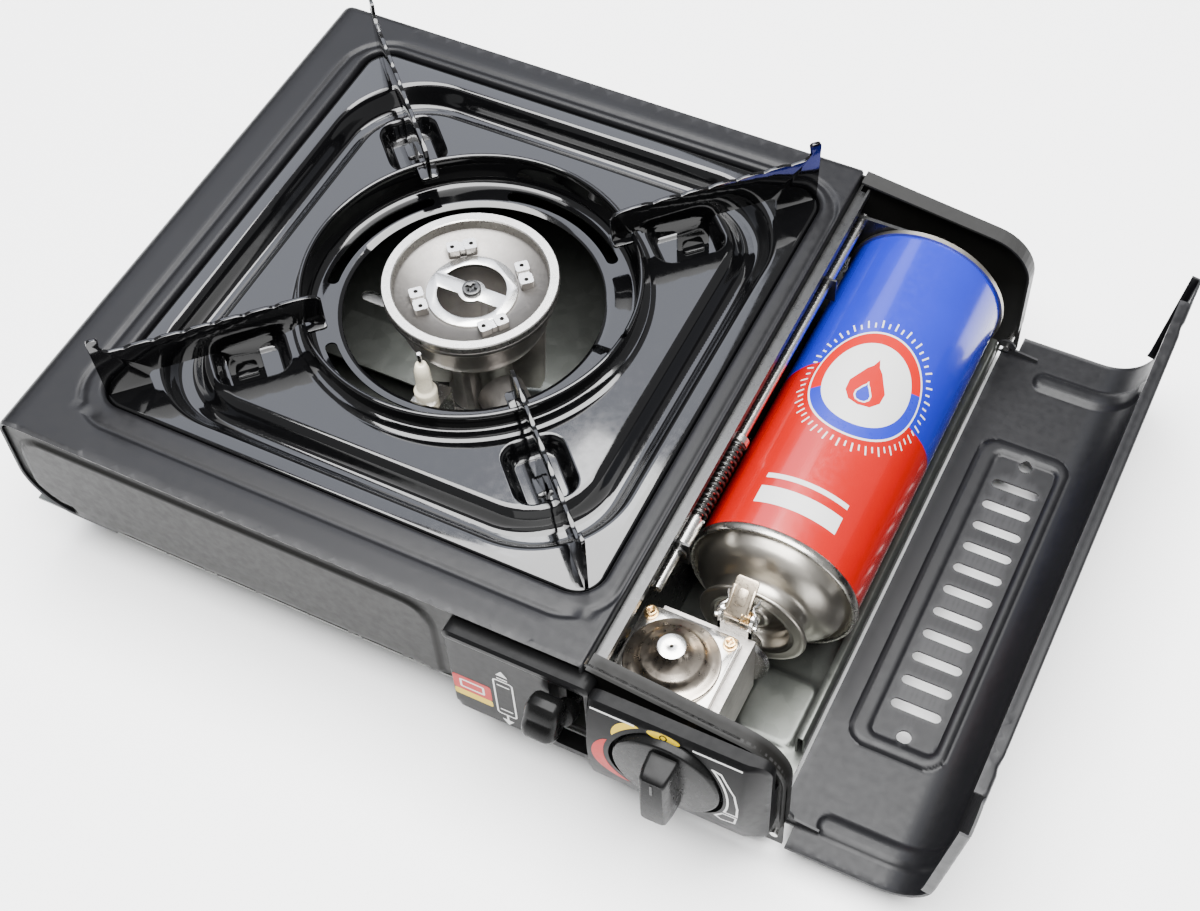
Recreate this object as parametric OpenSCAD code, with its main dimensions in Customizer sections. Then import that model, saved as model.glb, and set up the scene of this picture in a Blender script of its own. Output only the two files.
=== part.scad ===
// Portable cassette stove: a sheet-steel casing with a lift-off drip pan and pan
// supports, a cast burner, and a gas bay whose lid is open beside it.
// Every size is in millimetres. Inside the modules, x runs right from the casing's
// left wall, y runs back from its front face and z runs up from the table.

/* [Casing] */
// Width from the left wall to the right edge of the end plates
body_w = 330; // [328:1:334]
// Depth from the front face to the back face
body_d = 259; // [257:1:262]
// Height of the top plate above the table
body_h = 83; // [83:0.5:84]
// Right edge of the top plate, where the gas bay begins
plate_w = 253; // [252.8:0.1:253]
// Height of the casing's underside
under_z = 30; // [29:0.5:31]
// Height of the rubber feet
foot_h = 7; // [6:0.5:7]
// Thickness of the steel sheets
sheet_t = 1; // [0.8:0.1:1]

/* [Drip pan and supports] */
// Burner centre, from the left wall
burner_x = 136; // [135:0.5:137]
// Burner centre, from the front face
burner_y = 133.5; // [133:0.5:134]
// Half the width of the square drip pan
pan_half = 107.4; // [107:0.1:107.5]
// Height of the drip pan's raised middle
pan_z = 80.5; // [80:0.25:80.5]
// Outer radius of the windshield ring
ring_r = 67.5; // [67:0.25:67.5]
// Height of the windshield ring's rim
ring_z = 91; // [90:0.5:91]
// Height of the edge that a cooking pot stands on
support_z = 105.5; // [105:0.5:107]
// Distance that the drip pan lifts off by
pan_lift = 60; // [50:5:100]

/* [Burner] */
// Outer radius of the burner head
head_r = 35.5; // [35:0.25:36]
// Height of the burner head's bright rim
head_z = 90.2; // [90:0.1:90.5]

/* [Gas bay and cartridge] */
// Cartridge axis, from the left wall
can_x = 290; // [290:0.25:291]
// Cartridge axis, above the table
can_z = 42.6; // [42.5:0.1:43]
// Radius of the cartridge's seams
seam_r = 34.2; // [33.8:0.1:34.2]
// Front seam of the cartridge, from the front face
can_y0 = 82; // [82:0.5:83]
// Length of the cartridge from seam to seam
can_len = 160; // [158:1:160]
// Distance that the lever pushes the cartridge forward
push_travel = 8; // [7:0.5:8]

/* [Controls] */
// Height of the dial's axis
dial_z = 53; // [52:0.5:54]
// Radius of the dial
dial_r = 20.8; // [20:0.2:20.8]
// How far the dial's handle stands in front of the casing
dial_reach = 23; // [21:0.5:25]
// Angle that the lock lever turns through
lever_turn = 50; // [44:1:50]

/* [Lid] */
// Slope of the lid's top panel when it is closed
lid_slope = 7.7; // [7:0.1:8]
// Number of vent slots in the lid
slot_count = 11; // [9:1:11]

/* [Hidden] */
$fn = 96;

eps = 0.01;
skin_gap = 0.3;        // space between parts that move past each other
fit_gap = 0.05;        // radial running clearance of a pin in its hole

// End plates: the outline that the closed lid wraps around
end_r = 20;            // radius of the upper right corner
plate_in = 1.5;        // inset of the front and back plates
bay_x0 = plate_w + 0.2;
slope_x0 = plate_w + 1.3;
corner_x = body_w - end_r;
corner_z = body_h - (corner_x - slope_x0) * tan(lid_slope) - end_r / cos(lid_slope);

// Lid, drawn closed around the end plates and then swung open
hinge_x = body_w - 3;
hinge_z = 16;
lid_gap = 0.6;
lid_end_x = plate_w + 7.5;
lid_lip = 4;           // height of the lid's turned edges
lid_over = 1.5;        // how far the lid stands past the front and back faces
lid_top_x = hinge_x + (body_h - hinge_z);

// The object's own box, for an origin at the middle of its base
overall_w = hinge_x + lid_gap / cos(lid_slope) + sheet_t / cos(lid_slope)
    + body_h - (lid_end_x - slope_x0) * tan(lid_slope) - hinge_z;
origin_x = overall_w / 2;
origin_y = (body_d + lid_over - dial_reach) / 2;

// Tray under the casing, and the screws that hold its flange
tray = [[12, 12], [plate_w - 0.3, 247]];
screw_points = [[32, 7], [218, 7], [32, body_d - 7], [218, body_d - 7]];

// Control panel
panel_x0 = 199;
panel_z0 = 22.5;
panel_z1 = 78;
panel_y = -5;          // face of the flat left part
block_x0 = 257;        // raised right part, which carries the dial
block_x1 = 327;
block_rise = 4;
slot_x = 248.5;
slot_w = 14;

// Lock lever and pusher
pivot_y = 15;
pivot_z = 48;
lever_reach = 30.9;    // from the pivot to the middle of the lever's knob
crank_r = push_travel / (2 * sin(lever_turn / 2));
rod_x = plate_w + 5.5;
rod_z = 69;
rod_r = 2;
collar_r = 4;
spring_y0 = 80;
spring_y1 = 118;

// Regulator
reg_x = 275.5;
reg_y = 24.5;
reg_top = 62;

// Latch above the cartridge's neck
latch_y = 50.5;
latch_z = 68;
latch_lean = 36;
latch_x = 289.5;

// Gas path from the regulator to the burner
jet_target = [262, 34];
jet_z = 40;
jet_angle = atan2(jet_target[1] - burner_y, jet_target[0] - burner_x);
jet_start = norm([jet_target[0] - burner_x, jet_target[1] - burner_y]);

// Route of the ignition lead, from the piezo unit to the electrode
lead_r = 1.2;
lead_points = [
    [268.9, 23, 14], [264, 28, 13], [261, 38, 11.6], [258.5, 50, 11.2], [254.5, 59.7, 11],
    [249, 67, 11], [238, 78, 10.6], [218, 89, 10], [190, 96, 10], [160, 98, 10],
    [143, 97, 11.5], [136, 95.8, 16], [134, 95, 24], [134, 95, 32], [134, 95, 39.9]
];

// ---- helpers -------------------------------------------------------------

// Everything is moved so that the origin is the middle of the object's base.
module on_base() {
    translate([-origin_x, -origin_y, 0]) children();
}

// Points of an arc, from angle a0 to a1.
function arc(cx, cy, r, a0, a1, n = 10) =
    [for (i = [0 : n]) let (a = a0 + (a1 - a0) * i / n) [cx + r * cos(a), cy + r * sin(a)]];

function reversed(list) = [for (i = [len(list) - 1 : -1 : 0]) list[i]];

// A profile drawn in x and z, run along y.
module along_y(y0, y1) {
    translate([0, y1, 0]) rotate([90, 0, 0]) linear_extrude(y1 - y0) children();
}

// A rod along x, y or z between two values of that axis.
module rod_along_x(x0, x1, y, z, r) {
    translate([x0, y, z]) rotate([0, 90, 0]) cylinder(h = x1 - x0, r = r);
}

module rod_along_y(x, y0, y1, z, r) {
    translate([x, y1, z]) rotate([90, 0, 0]) cylinder(h = y1 - y0, r = r);
}

module rod_along_z(x, y, z0, z1, r) {
    translate([x, y, z0]) cylinder(h = z1 - z0, r = r);
}

module block(p, q) {
    translate(p) cube([q[0] - p[0], q[1] - p[1], q[2] - p[2]]);
}

// A square of half width h with corner radius r.
module round_square(h, r) {
    square([2 * h, 2 * (h - r)], center = true);
    square([2 * (h - r), 2 * h], center = true);
    for (sx = [-1, 1], sy = [-1, 1]) translate([sx * (h - r), sy * (h - r)]) circle(r);
}

// A flat rounded-square frame between two outlines.
module square_band(z0, z1, h_out, r_out, h_in, r_in) {
    translate([0, 0, z0]) linear_extrude(z1 - z0) difference() {
        round_square(h_out, r_out);
        round_square(h_in, r_in);
    }
}

// A slot with round ends, along x.
module slot_2d(length, width) {
    square([length - width, width], center = true);
    for (s = [-1, 1]) translate([s * (length - width) / 2, 0]) circle(width / 2);
}

module at_burner() {
    translate([burner_x, burner_y, 0]) children();
}

// Turns the upright profile of a revolved piece so that its axis runs along y.
module facing_front(x, y, z) {
    translate([x, y, z]) rotate([-90, 0, 0]) children();
}

// A round tube swept along a list of points.
function unit(v) = v / norm(v);
function tangent(p, i) = unit(p[min(i + 1, len(p) - 1)] - p[max(i - 1, 0)]);
function sweep_ring(p, i, r, n, side) =
    let (t = tangent(p, i), a = unit(cross(t, side)), b = cross(t, a))
    [for (k = [0 : n - 1]) p[i] + r * (cos(360 * k / n) * a + sin(360 * k / n) * b)];

module swept_tube(p, r, n, side) {
    rings = [for (i = [0 : len(p) - 1]) each sweep_ring(p, i, r, n, side)];
    walls = [
        for (i = [0 : len(p) - 2], k = [0 : n - 1])
        [i * n + k, i * n + (k + 1) % n, (i + 1) * n + (k + 1) % n, (i + 1) * n + k]
    ];
    first = [for (k = [n - 1 : -1 : 0]) k];
    last = [for (k = [0 : n - 1]) (len(p) - 1) * n + k];
    polyhedron(points = rings, faces = concat(walls, [first, last]), convexity = 8);
}

// Points of a coil around an axis that runs along z.
function coil(r, h, turns, steps) =
    [for (i = [0 : turns * steps])
        [r * cos(360 * i / steps), r * sin(360 * i / steps), h * i / (turns * steps)]];

// A cross recess for a screw head whose top is at z.
module cross_recess(z, size) {
    for (a = [0, 90]) rotate(a) translate([-size / 2, -size / 8, z - 1])
        cube([size, size / 4, 1 + eps]);
}

// ---- casing and plates ---------------------------------------------------

// Section of the wrapped casing: top plate, left wall and the lip underneath.
module casing_section() {
    top_r = 6;
    low_r = 22;
    lip_x = 42;
    low_z = under_z + low_r;
    t = sheet_t;
    outer = concat([[plate_w, body_h - 6], [plate_w, body_h]],
        arc(top_r, body_h - top_r, top_r, 90, 180),
        arc(low_r, low_z, low_r, 180, 270, 16),
        [[lip_x, under_z]]);
    inner = concat([[plate_w - t, body_h - 6], [plate_w - t, body_h - t]],
        arc(top_r, body_h - top_r, top_r - t, 90, 180),
        arc(low_r, low_z, low_r - t, 180, 270, 16),
        [[lip_x, under_z + t]]);
    polygon(concat(outer, reversed(inner)));
}

module casing() {
    well_half = 108;
    well_r = 12;
    ledge_z = 77;
    color("dimgray") on_base() difference() {
        union() {
            difference() {
                along_y(0, body_d) casing_section();
                at_burner() translate([0, 0, body_h - 2]) linear_extrude(4)
                    round_square(well_half, well_r);
            }
            at_burner() {
                square_band(ledge_z - sheet_t, body_h - sheet_t / 2,
                    well_half + sheet_t, well_r + sheet_t, well_half, well_r);
                square_band(ledge_z - sheet_t, ledge_z,
                    well_half + sheet_t / 2, well_r, 103.5, 30);
            }
        }
        // a shallow groove pressed around the pan
        translate([burner_x, burner_y - 3, 0])
            square_band(body_h - 0.5, body_h + 1, 117, 22, 114, 19);
        for (p = screw_points) rod_along_z(p[0], p[1], 20, 40, 1.6);
    }
}

// Outline of an end plate; the left part sits inside the wrapped casing.
module end_plate_outline(grow = 0) {
    low_r = 22 - plate_in;
    far = end_r + grow;
    a_top = 90 - lid_slope;
    polygon(concat(
        [[plate_in, body_h - 6], [plate_in, under_z + 22]],
        arc(22, under_z + 22, low_r, 180, 270),
        [[42, under_z + plate_in], [43, under_z], [bay_x0 + 3, under_z]],
        [[bay_x0 + 3, foot_h + 1.3], [body_w, foot_h + 1.3]],
        arc(corner_x, corner_z, far, 0, a_top),
        [[slope_x0, body_h], [slope_x0, body_h - plate_in], [6, body_h - plate_in]]));
}

// The turned rim of an end plate, above and to the right of the gas bay.
module end_rim_outline() {
    a_top = 90 - lid_slope;
    r_in = end_r - sheet_t;
    dx = sheet_t * sin(lid_slope);
    dz = sheet_t / cos(lid_slope);
    polygon(concat(
        [[body_w, 24]],
        arc(corner_x, corner_z, end_r, 0, a_top),
        [[slope_x0, body_h], [slope_x0, body_h - dz]],
        reversed(arc(corner_x, corner_z, r_in, 0, a_top)),
        [[body_w - sheet_t, 24]]));
}

module front_plate() {
    rim_depth = 7;
    color("dimgray") on_base() difference() {
        union() {
            along_y(plate_in, plate_in + sheet_t) end_plate_outline();
            along_y(0, rim_depth) end_rim_outline();
            block([50, plate_in, under_z], [240, 11, under_z + sheet_t]);
        }
        for (p = screw_points) rod_along_z(p[0], p[1], 20, 40, 1.6);
        rod_along_y(can_x, -1, 9, dial_z, 3.6);
        rod_along_y(hinge_x, -1, 9, hinge_z, 1.5);
        block([slot_x - 4, -1, 32], [slot_x + 4, 9, 64]);
    }
}

module back_plate() {
    rim_depth = 7;
    color("dimgray") on_base() difference() {
        union() {
            along_y(body_d - plate_in - sheet_t, body_d - plate_in) end_plate_outline();
            along_y(body_d - rim_depth, body_d) end_rim_outline();
            block([50, body_d - 11, under_z], [240, body_d - plate_in, under_z + sheet_t]);
        }
        for (p = screw_points) rod_along_z(p[0], p[1], 20, 40, 1.6);
        rod_along_y(hinge_x, body_d - 9, body_d + 1, hinge_z, 1.5);
    }
}

// ---- tray and gas bay ----------------------------------------------------

module base_tray() {
    t = sheet_t;
    top = under_z;
    color("silver") on_base() difference() {
        union() {
            block([tray[0][0], tray[0][1], foot_h], [tray[1][0], tray[1][1], top]);
            block([2, 1, top - t], [tray[1][0], body_d - 1, top]);
        }
        block([tray[0][0] + t, tray[0][1] + t, foot_h + t],
            [tray[1][0] - t, tray[1][1] - t, top + 1]);
        for (p = screw_points) rod_along_z(p[0], p[1], 20, 40, 1.6);
        // air slots below the burner
        for (row = [0 : 4], side = [-1, 1])
            translate([burner_x + side * 60, 75 + 30 * row, foot_h - 1])
                linear_extrude(4) slot_2d(44, 6);
        // the ignition lead's window
        block([245, 58.5, foot_h + 2], [256, 67, 14]);
    }
}

module bay_divider() {
    t = sheet_t;
    rail_z = 77;
    lug_ys = [65.5, 205];
    color("#303030") on_base() difference() {
        union() {
            block([bay_x0, 3.2, foot_h + t], [bay_x0 + t, body_d - 3.2, rail_z + t]);
            block([bay_x0, 7.3, rail_z], [bay_x0 + 5.2, body_d - 7.3, rail_z + t]);
            block([bay_x0 + 4.2, 7.3, rail_z], [bay_x0 + 5.2, body_d - 7.3, rail_z + 3.4]);
            for (y = lug_ys) block([bay_x0, y, 62], [rod_x + 4.5, y + t, 74]);
        }
        rod_along_y(rod_x, 60, 210, rod_z, rod_r + fit_gap);
        // window for the cross pin of the pusher rod
        block([bay_x0 - 1, 38, 66], [bay_x0 + 2, 56, 72]);
        // holes for the gas jet and the ignition lead
        at_burner() rotate(jet_angle) translate([jet_start - 25, 0, jet_z])
            rotate([0, 90, 0]) cylinder(h = 25, r = 6);
        block([bay_x0 - 1, 56.5, foot_h + 2.5], [bay_x0 + 2, 65, 14]);
    }
}

module bay_floor() {
    t = sheet_t;
    strip_y = [38, 248];
    strip_z = 20;
    color("silver") on_base() difference() {
        union() {
            block([bay_x0, 3.2, foot_h], [323, body_d - 3.2, foot_h + t]);
            block([319.5, strip_y[0], foot_h], [323, strip_y[1], strip_z]);
            block([299, 8, foot_h], [317, 34, foot_h + 3]);
        }
        block([320.5, strip_y[0] - 1, foot_h - 1], [322, strip_y[1] + 1, strip_z - t]);
    }
}

rivet_places = [[309, 57], [309, 150], [309, 243], [262, 150]];

module bay_rivets() {
    color("silver") on_base() for (p = rivet_places) {
        translate([p[0], p[1], foot_h + 1]) intersection() {
            translate([0, 0, -2]) sphere(r = 3.6);
            cylinder(h = 4, r = 4);
        }
    }
}

foot_places = [[32, 30], [32, body_d - 30], [308, 24], [308, body_d - 24]];

module feet() {
    color("#202020") on_base() for (p = foot_places) translate([p[0], p[1], 0]) difference() {
        rotate_extrude() polygon([[0, 0], [8.2, 0], [9, 0.8], [9, foot_h - 1], [8, foot_h], [0, foot_h]]);
        translate([0, 0, -1]) cylinder(h = 3, r = 3.5);
    }
}

module tray_screws() {
    head_z = under_z - sheet_t;
    color("gray") on_base() for (p = screw_points) translate([p[0], p[1], 0]) difference() {
        union() {
            rod_along_z(0, 0, head_z - 1.8, head_z, 3);
            rod_along_z(0, 0, head_z - eps, head_z + 5, 1.6);
        }
        translate([0, 0, head_z - 1.8]) mirror([0, 0, 1]) cross_recess(0, 3.6);
    }
}

// ---- control panel and dial ----------------------------------------------

// Section through the raised block: a shallow bulge that faces the front.
bulge_h = (panel_z1 - 1 - panel_z0) / 2;
bulge_mid = panel_z0 + bulge_h;
bulge_front = panel_y - 3 - block_rise;
bulge_r = (bulge_h * bulge_h + block_rise * block_rise) / (2 * block_rise);

module bulge(grow) {
    intersection() {
        rod_along_x(block_x0 + grow, block_x1, bulge_front + bulge_r, bulge_mid, bulge_r - grow);
        along_x_prism(grow);
    }
}

// The block seen from above, with its right end cut off at a slant.
module along_x_prism(grow) {
    translate([0, 0, panel_z0 + grow]) linear_extrude(2 * bulge_h - 2 * grow)
        polygon([
            [block_x0 + grow, panel_y + grow], [block_x0 + grow, bulge_front - 1],
            [block_x1 - 9 - grow, bulge_front - 1], [block_x1 - 7.5 - grow, bulge_front],
            [block_x1 - grow, panel_y + grow]
        ]);
}

module control_panel() {
    t = 1.2;
    y_back = 1.4;
    ledge_y = -2.5;
    color("#262626") on_base() difference() {
        union() {
            block([panel_x0, panel_y, panel_z0], [block_x1, y_back, panel_z1 - 8]);
            block([panel_x0, panel_y, panel_z0], [block_x1, ledge_y, panel_z1]);
            bulge(0);
        }
        // hollow behind the flat face and behind the raised block
        block([panel_x0 + t, panel_y + t, panel_z0 + t], [block_x1 - t, y_back + 1, panel_z1 - 8 - t]);
        bulge(t);
        block([block_x0 + t, panel_y - 1, panel_z0 + t],
            [block_x1 - 4, panel_y + 2, panel_z1 - 8 - t]);
        // slot for the lock lever
        block([slot_x - slot_w / 2, panel_y - 1, 27], [slot_x + slot_w / 2, panel_y + 2, 73]);
        // room for the end plate's turned rim
        block([314, -1.9, 58], [body_w, y_back + 1, panel_z1]);
        // round seat for the dial
        rod_along_y(can_x, bulge_front - 1, panel_y + 2, dial_z, dial_r + 0.5);
    }
}

module knob() {
    face_y = bulge_front - 0.5;
    bar_w = 11;
    bar_l = 33;
    color("#1c1c1c") on_base() difference() {
        union() {
            facing_front(can_x, face_y, dial_z) rotate_extrude()
                polygon([[0, 0], [dial_r - 0.8, 0], [dial_r, 0.8], [dial_r, 4], [0, 4]]);
            rod_along_y(can_x, face_y + 3, -1.5, dial_z, 6);
            translate([can_x, face_y + 1, dial_z]) rotate([90, 0, 0])
                linear_extrude(dial_reach + face_y + 1) intersection() {
                    square([bar_w, bar_l], center = true);
                    circle(r = bar_l / 2 + 0.6);
                }
        }
        rod_along_y(can_x, -10, 0, dial_z, 3);
    }
}

module knob_spindle() {
    color("goldenrod") on_base() {
        rod_along_y(can_x, -10, 3, dial_z, 3);
        rod_along_y(can_x, 3, 18, dial_z, 4);
    }
}

// ---- lid -------------------------------------------------------------------

// The lid is drawn closed, in x and z, and swung open by a quarter turn.
module lid_swung_open() {
    translate([hinge_x, 0, hinge_z]) rotate([0, 90, 0]) translate([-hinge_x, 0, -hinge_z])
        children();
}

// Section of the closed lid between two distances from the end plates.
module lid_section(d_in, d_out) {
    a_top = 90 - lid_slope;
    function top_z(x, d) = body_h - (x - slope_x0) * tan(lid_slope) + d / cos(lid_slope);
    polygon(concat(
        [[body_w + d_out, hinge_z - 2]],
        arc(corner_x, corner_z, end_r + d_out, 0, a_top, 14),
        [[lid_end_x, top_z(lid_end_x, d_out)], [lid_end_x, top_z(lid_end_x, d_in)]],
        reversed(arc(corner_x, corner_z, end_r + d_in, 0, a_top, 14)),
        [[body_w + d_in, hinge_z - 2]]));
}

module lid() {
    t = sheet_t;
    g = lid_gap;
    y0 = -lid_over;
    y1 = body_d + lid_over;
    edge_z = body_h - (lid_end_x - slope_x0) * tan(lid_slope) + g / cos(lid_slope);
    slot_step = 11.15;
    slot_mid_y = 127;
    slot_z = 43.7;
    hole_at = 68.3;
    ear_y = 9;
    color("dimgray") on_base() lid_swung_open() difference() {
        union() {
            along_y(y0, y1) lid_section(g, g + t);
            // turned edge along the free side of the top panel
            block([lid_end_x, 14, edge_z - lid_lip], [lid_end_x + t, body_d - 14, edge_z + t / 2]);
            // turned edges at both ends of the top panel
            for (y = [y0, y1 - t]) intersection() {
                along_y(y, y + t) lid_section(-lid_lip, g + t);
                block([lid_end_x, y, corner_z], [corner_x + 4, y + t, body_h + 2]);
            }
            // ears that hang on the hinge pins
            for (y = [ear_y, body_d - ear_y - t]) {
                rod_along_y(hinge_x, y, y + t, hinge_z, 4);
                block([hinge_x, y, hinge_z - 2], [body_w + g + t / 2, y + t, hinge_z + 14]);
            }
        }
        for (y = [ear_y, body_d - ear_y - t])
            rod_along_y(hinge_x, y - 1, y + t + 1, hinge_z, 1.5 + fit_gap);
        // corner cut-outs that clear the end plates as the lid swings
        for (y = [y0 - 2, body_d - 8.7])
            block([hinge_x - 8, y, 0], [body_w + 4, y + 11.2, hinge_z + 5]);
        // vent slots and the two round holes in line with them
        for (i = [0 : slot_count - 1])
            translate([body_w - 2, slot_mid_y + (i - (slot_count - 1) / 2) * slot_step, slot_z])
                rotate([0, 90, 0]) linear_extrude(6) slot_2d(20, 4.4);
        for (s = [-1, 1])
            rod_along_x(body_w - 2, body_w + 4, slot_mid_y + s * hole_at, slot_z, 2.9);
        // finger hole in the top panel
        translate([282, 62, body_h - 12]) linear_extrude(20) rotate(90) slot_2d(30, 11);
    }
}

module hinge_pins() {
    color("silver") on_base() {
        rod_along_y(hinge_x, 0.3, 11, hinge_z, 1.5);
        rod_along_y(hinge_x, body_d - 11, body_d - 0.3, hinge_z, 1.5);
    }
}

// ---- drip pan, ring and pan supports --------------------------------------

support_angles = [45, 135, 225, 315];
dimple_at = 90.5;
dimple_r = 11.5;
trough_z = 73;

module drip_pan() {
    t = sheet_t;
    rim_z = pan_z + t;
    color("#141414") on_base() at_burner() difference() {
        union() {
            square_band(pan_z, rim_z, pan_half, 11, 100.5, 40);
            square_band(77.3, rim_z, pan_half, 11, pan_half - t, 11 - t);
            square_band(trough_z, rim_z, 101.5, 40.5, 100.5, 40);
            square_band(trough_z - t, trough_z, 101.5, 40.5, 83, 27);
            square_band(trough_z - t, pan_z, 84, 28, 83, 27);
            translate([0, 0, pan_z - t]) linear_extrude(t) round_square(84, 28);
            for (a = support_angles) rotate(a)
                rod_along_z(dimple_at, 0, trough_z - t, pan_z, dimple_r + t);
        }
        for (a = support_angles) rotate(a)
            rod_along_z(dimple_at, 0, trough_z, pan_z + 1, dimple_r);
        rod_along_z(0, 0, 60, 100, ring_r + 0.2);
    }
}

module windshield_ring() {
    t = sheet_t;
    r = ring_r;
    color("#141414") on_base() at_burner() difference() {
        rotate_extrude() polygon(concat(
            [[53, 75], [64, 75], [r, 78.5], [r, pan_z], [r + 4, pan_z], [r + 4, pan_z + t],
             [r, pan_z + t]],
            arc(r + 0.4, ring_z - 1.4, 1.4, -70, 160, 12),
            [[r - t, ring_z - 3], [r - t, 79], [63.4, 75 + t], [53, 75 + t]]));
        // arc slots around the base, between the four supports
        for (a = support_angles) rotate(a - 75) translate([0, 0, 74])
            rotate_extrude(angle = 60) translate([57, 0]) square([5, 3]);
        // notches where the supports cross the rim
        for (a = support_angles) rotate(a) block([60, -0.8, ring_z - 1.2], [72, 0.8, ring_z + 1]);
    }
}

// One pan support, drawn with its distance from the burner along x.
module support_outline() {
    z = support_z;
    foot_z = pan_z + sheet_t;
    teeth = 6;
    t0 = 66;
    t1 = 136;
    step = (t1 - t0) / teeth;
    scallops = [for (i = [0 : teeth - 1]) each [
        [t0 + i * step, z - 1.6], [t0 + (i + 0.2) * step, z], [t0 + (i + 0.8) * step, z]
    ]];
    polygon(concat(
        [[59, 89], [64.5, 89], [64.5, ring_z - 1.2], [71.5, ring_z - 1.2], [76, 89], [86.6, 87],
         [86.6, 73], [100.3, 73], [100.3, 86], [104, 88.5], [127, 88.5], [129.5, 86],
         [129.5, foot_z], [147, foot_z], [147.6, 112.5], [146.8, 113.6], [143.2, 113.6],
         [142, 106.8], [139.5, 105]],
        reversed(scallops),
        [[63, z - 0.5], [59.6, z - 1.8], [58.4, z - 4]]));
}

module pan_support(index) {
    blade_t = 1.4;
    color("#161616") on_base() at_burner() rotate(support_angles[index - 1])
        translate([0, blade_t / 2, 0]) rotate([90, 0, 0]) linear_extrude(blade_t)
            support_outline();
}

// ---- burner -----------------------------------------------------------------

module burner_bracket() {
    color("silver") on_base() difference() {
        union() {
            block([62, 121, 20], [210, 146, 21]);
            block([126, 92, 20], [146, 121, 21]);
            for (x = [62, 209]) block([x, 121, foot_h + 1], [x + 1, 146, 21]);
            for (x = [50, 209]) block([x, 121, foot_h + 1], [x + 13, 146, foot_h + 2]);
        }
        rod_along_z(burner_x, burner_y, 10, 30, 4);
        rod_along_z(134.8, 95.3, 10, 30, 2.6);
    }
}

module burner_body() {
    color("#8c8880") on_base() difference() {
        union() {
            at_burner() rotate_extrude() polygon([
                [0, 21], [15, 21], [15, 24], [13, 27], [13, 42], [18, 54], [28, 66], [30.5, 70],
                [30.5, 77.5], [33, 79.5], [33, 80.5], [0, 80.5]
            ]);
            at_burner() rotate(jet_angle) translate([0, 0, jet_z]) rotate([0, 90, 0])
                cylinder(h = 20, r = 10);
            for (a = [20, 110, 200]) at_burner() rotate(a) block([12, -2, 24], [30, 2, 68]);
        }
        at_burner() rotate_extrude() polygon([
            [0, 36], [8, 36], [12, 52], [26, 68], [27.5, 71], [27.5, 83], [0, 83]
        ]);
        at_burner() rotate(jet_angle) translate([5, 0, jet_z]) rotate([0, 90, 0])
            cylinder(h = 16, r = 7.5);
        at_burner() difference() {
            rod_along_z(0, 0, 20, 70, 60);
            rod_along_z(0, 0, 19, 71, 30.5);
        }
    }
}

module mixing_tube() {
    mouth = jet_start - 24;
    color("#8c8880") on_base() at_burner() rotate(jet_angle) translate([0, 0, jet_z])
        rotate([0, 90, 0]) rotate_extrude() polygon([
            [7.5, 20], [10, 20], [9.5, mouth - 12], [12.5, mouth], [11, mouth],
            [8, mouth - 11], [7.5, mouth - 12]
        ]);
}

lug_r = 21.7;
lug_angles = [42, 129, 224, 322];

module burner_head() {
    rim_in = 31.2;
    bar_seat_r = 19;
    disc_z = 82;
    color("#b8b4ac") on_base() at_burner() difference() {
        union() {
            rotate_extrude() polygon([
                [15, disc_z - 1.5], [28, disc_z - 1.5], [rim_in, disc_z + 0.5],
                [head_r - 2.5, disc_z + 0.5],
                [head_r, disc_z + 3], [head_r, head_z - 0.6], [head_r - 0.6, head_z],
                [rim_in + 0.4, head_z], [rim_in, head_z - 0.4], [rim_in, disc_z + 3],
                [bar_seat_r, disc_z], [15, disc_z]
            ]);
            rod_along_z(0, 0, 71, disc_z - 0.5, 27.4);
            for (a = lug_angles) rotate(a) translate([lug_r, 0, disc_z])
                linear_extrude(4.6) square([5.5, 12], center = true);
        }
        rod_along_z(0, 0, 60, 95, 14.5);
        rotate_extrude() polygon([[0, 70], [26, 70], [26, 78], [15, 78.5], [0, 78.5]]);
        for (a = lug_angles, s = [-1, 1]) rotate(a)
            rod_along_z(lug_r, s * 4, disc_z + 1, disc_z + 6, 0.9);
        // flame ports around the side of the rim
        for (i = [0 : 35]) rotate(i * 10)
            block([head_r - 2, -0.6, disc_z + 3.5], [head_r + 1, 0.6, disc_z + 5]);
    }
}

module burner_bar() {
    color("silver") on_base() at_burner() difference() {
        union() {
            difference() {
                rod_along_z(0, 0, 82, 82.8, 18.5);
                rod_along_z(0, 0, 81, 84, 14);
            }
            intersection() {
                block([-16, -3.4, 82], [16, 3.4, 82.8]);
                rod_along_z(0, 0, 81, 84, 15);
            }
            rod_along_z(0, 0, 82, 82.8, 5.5);
        }
        rod_along_z(0, 0, 60, 90, 2);
    }
}

module burner_screw() {
    color("#222222") on_base() at_burner() difference() {
        union() {
            rod_along_z(0, 0, 82.8, 85, 3.8);
            rod_along_z(0, 0, 36, 83, 1.95);
        }
        cross_recess(85, 4.4);
    }
}

module jet_nozzle() {
    tip = jet_start - 29;
    color("goldenrod") on_base() at_burner() rotate(jet_angle) translate([0, 0, jet_z])
        rotate([0, 90, 0]) difference() {
            rotate_extrude() polygon([
                [0, tip], [1.4, tip], [2.4, tip + 6], [2.4, tip + 12], [4, tip + 12],
                [4, tip + 17], [3, tip + 17], [3, jet_start - 6], [0, jet_start - 6]
            ]);
            translate([0, 0, tip - 1]) cylinder(h = 4, r = 0.4);
        }
}

electrode = [134, 95];

module electrode_bracket() {
    x0 = electrode[0] - 6;
    x1 = electrode[0] + 6;
    color("silver") on_base() difference() {
        union() {
            block([x0, 104, 21], [x1, 118, 22]);
            block([x0, 103.5, 21], [x1, 104.5, 56]);
            block([x0, 89, 55], [x1, 104.5, 56]);
        }
        rod_along_z(electrode[0], electrode[1], 50, 60, 3.2);
    }
}

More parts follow.
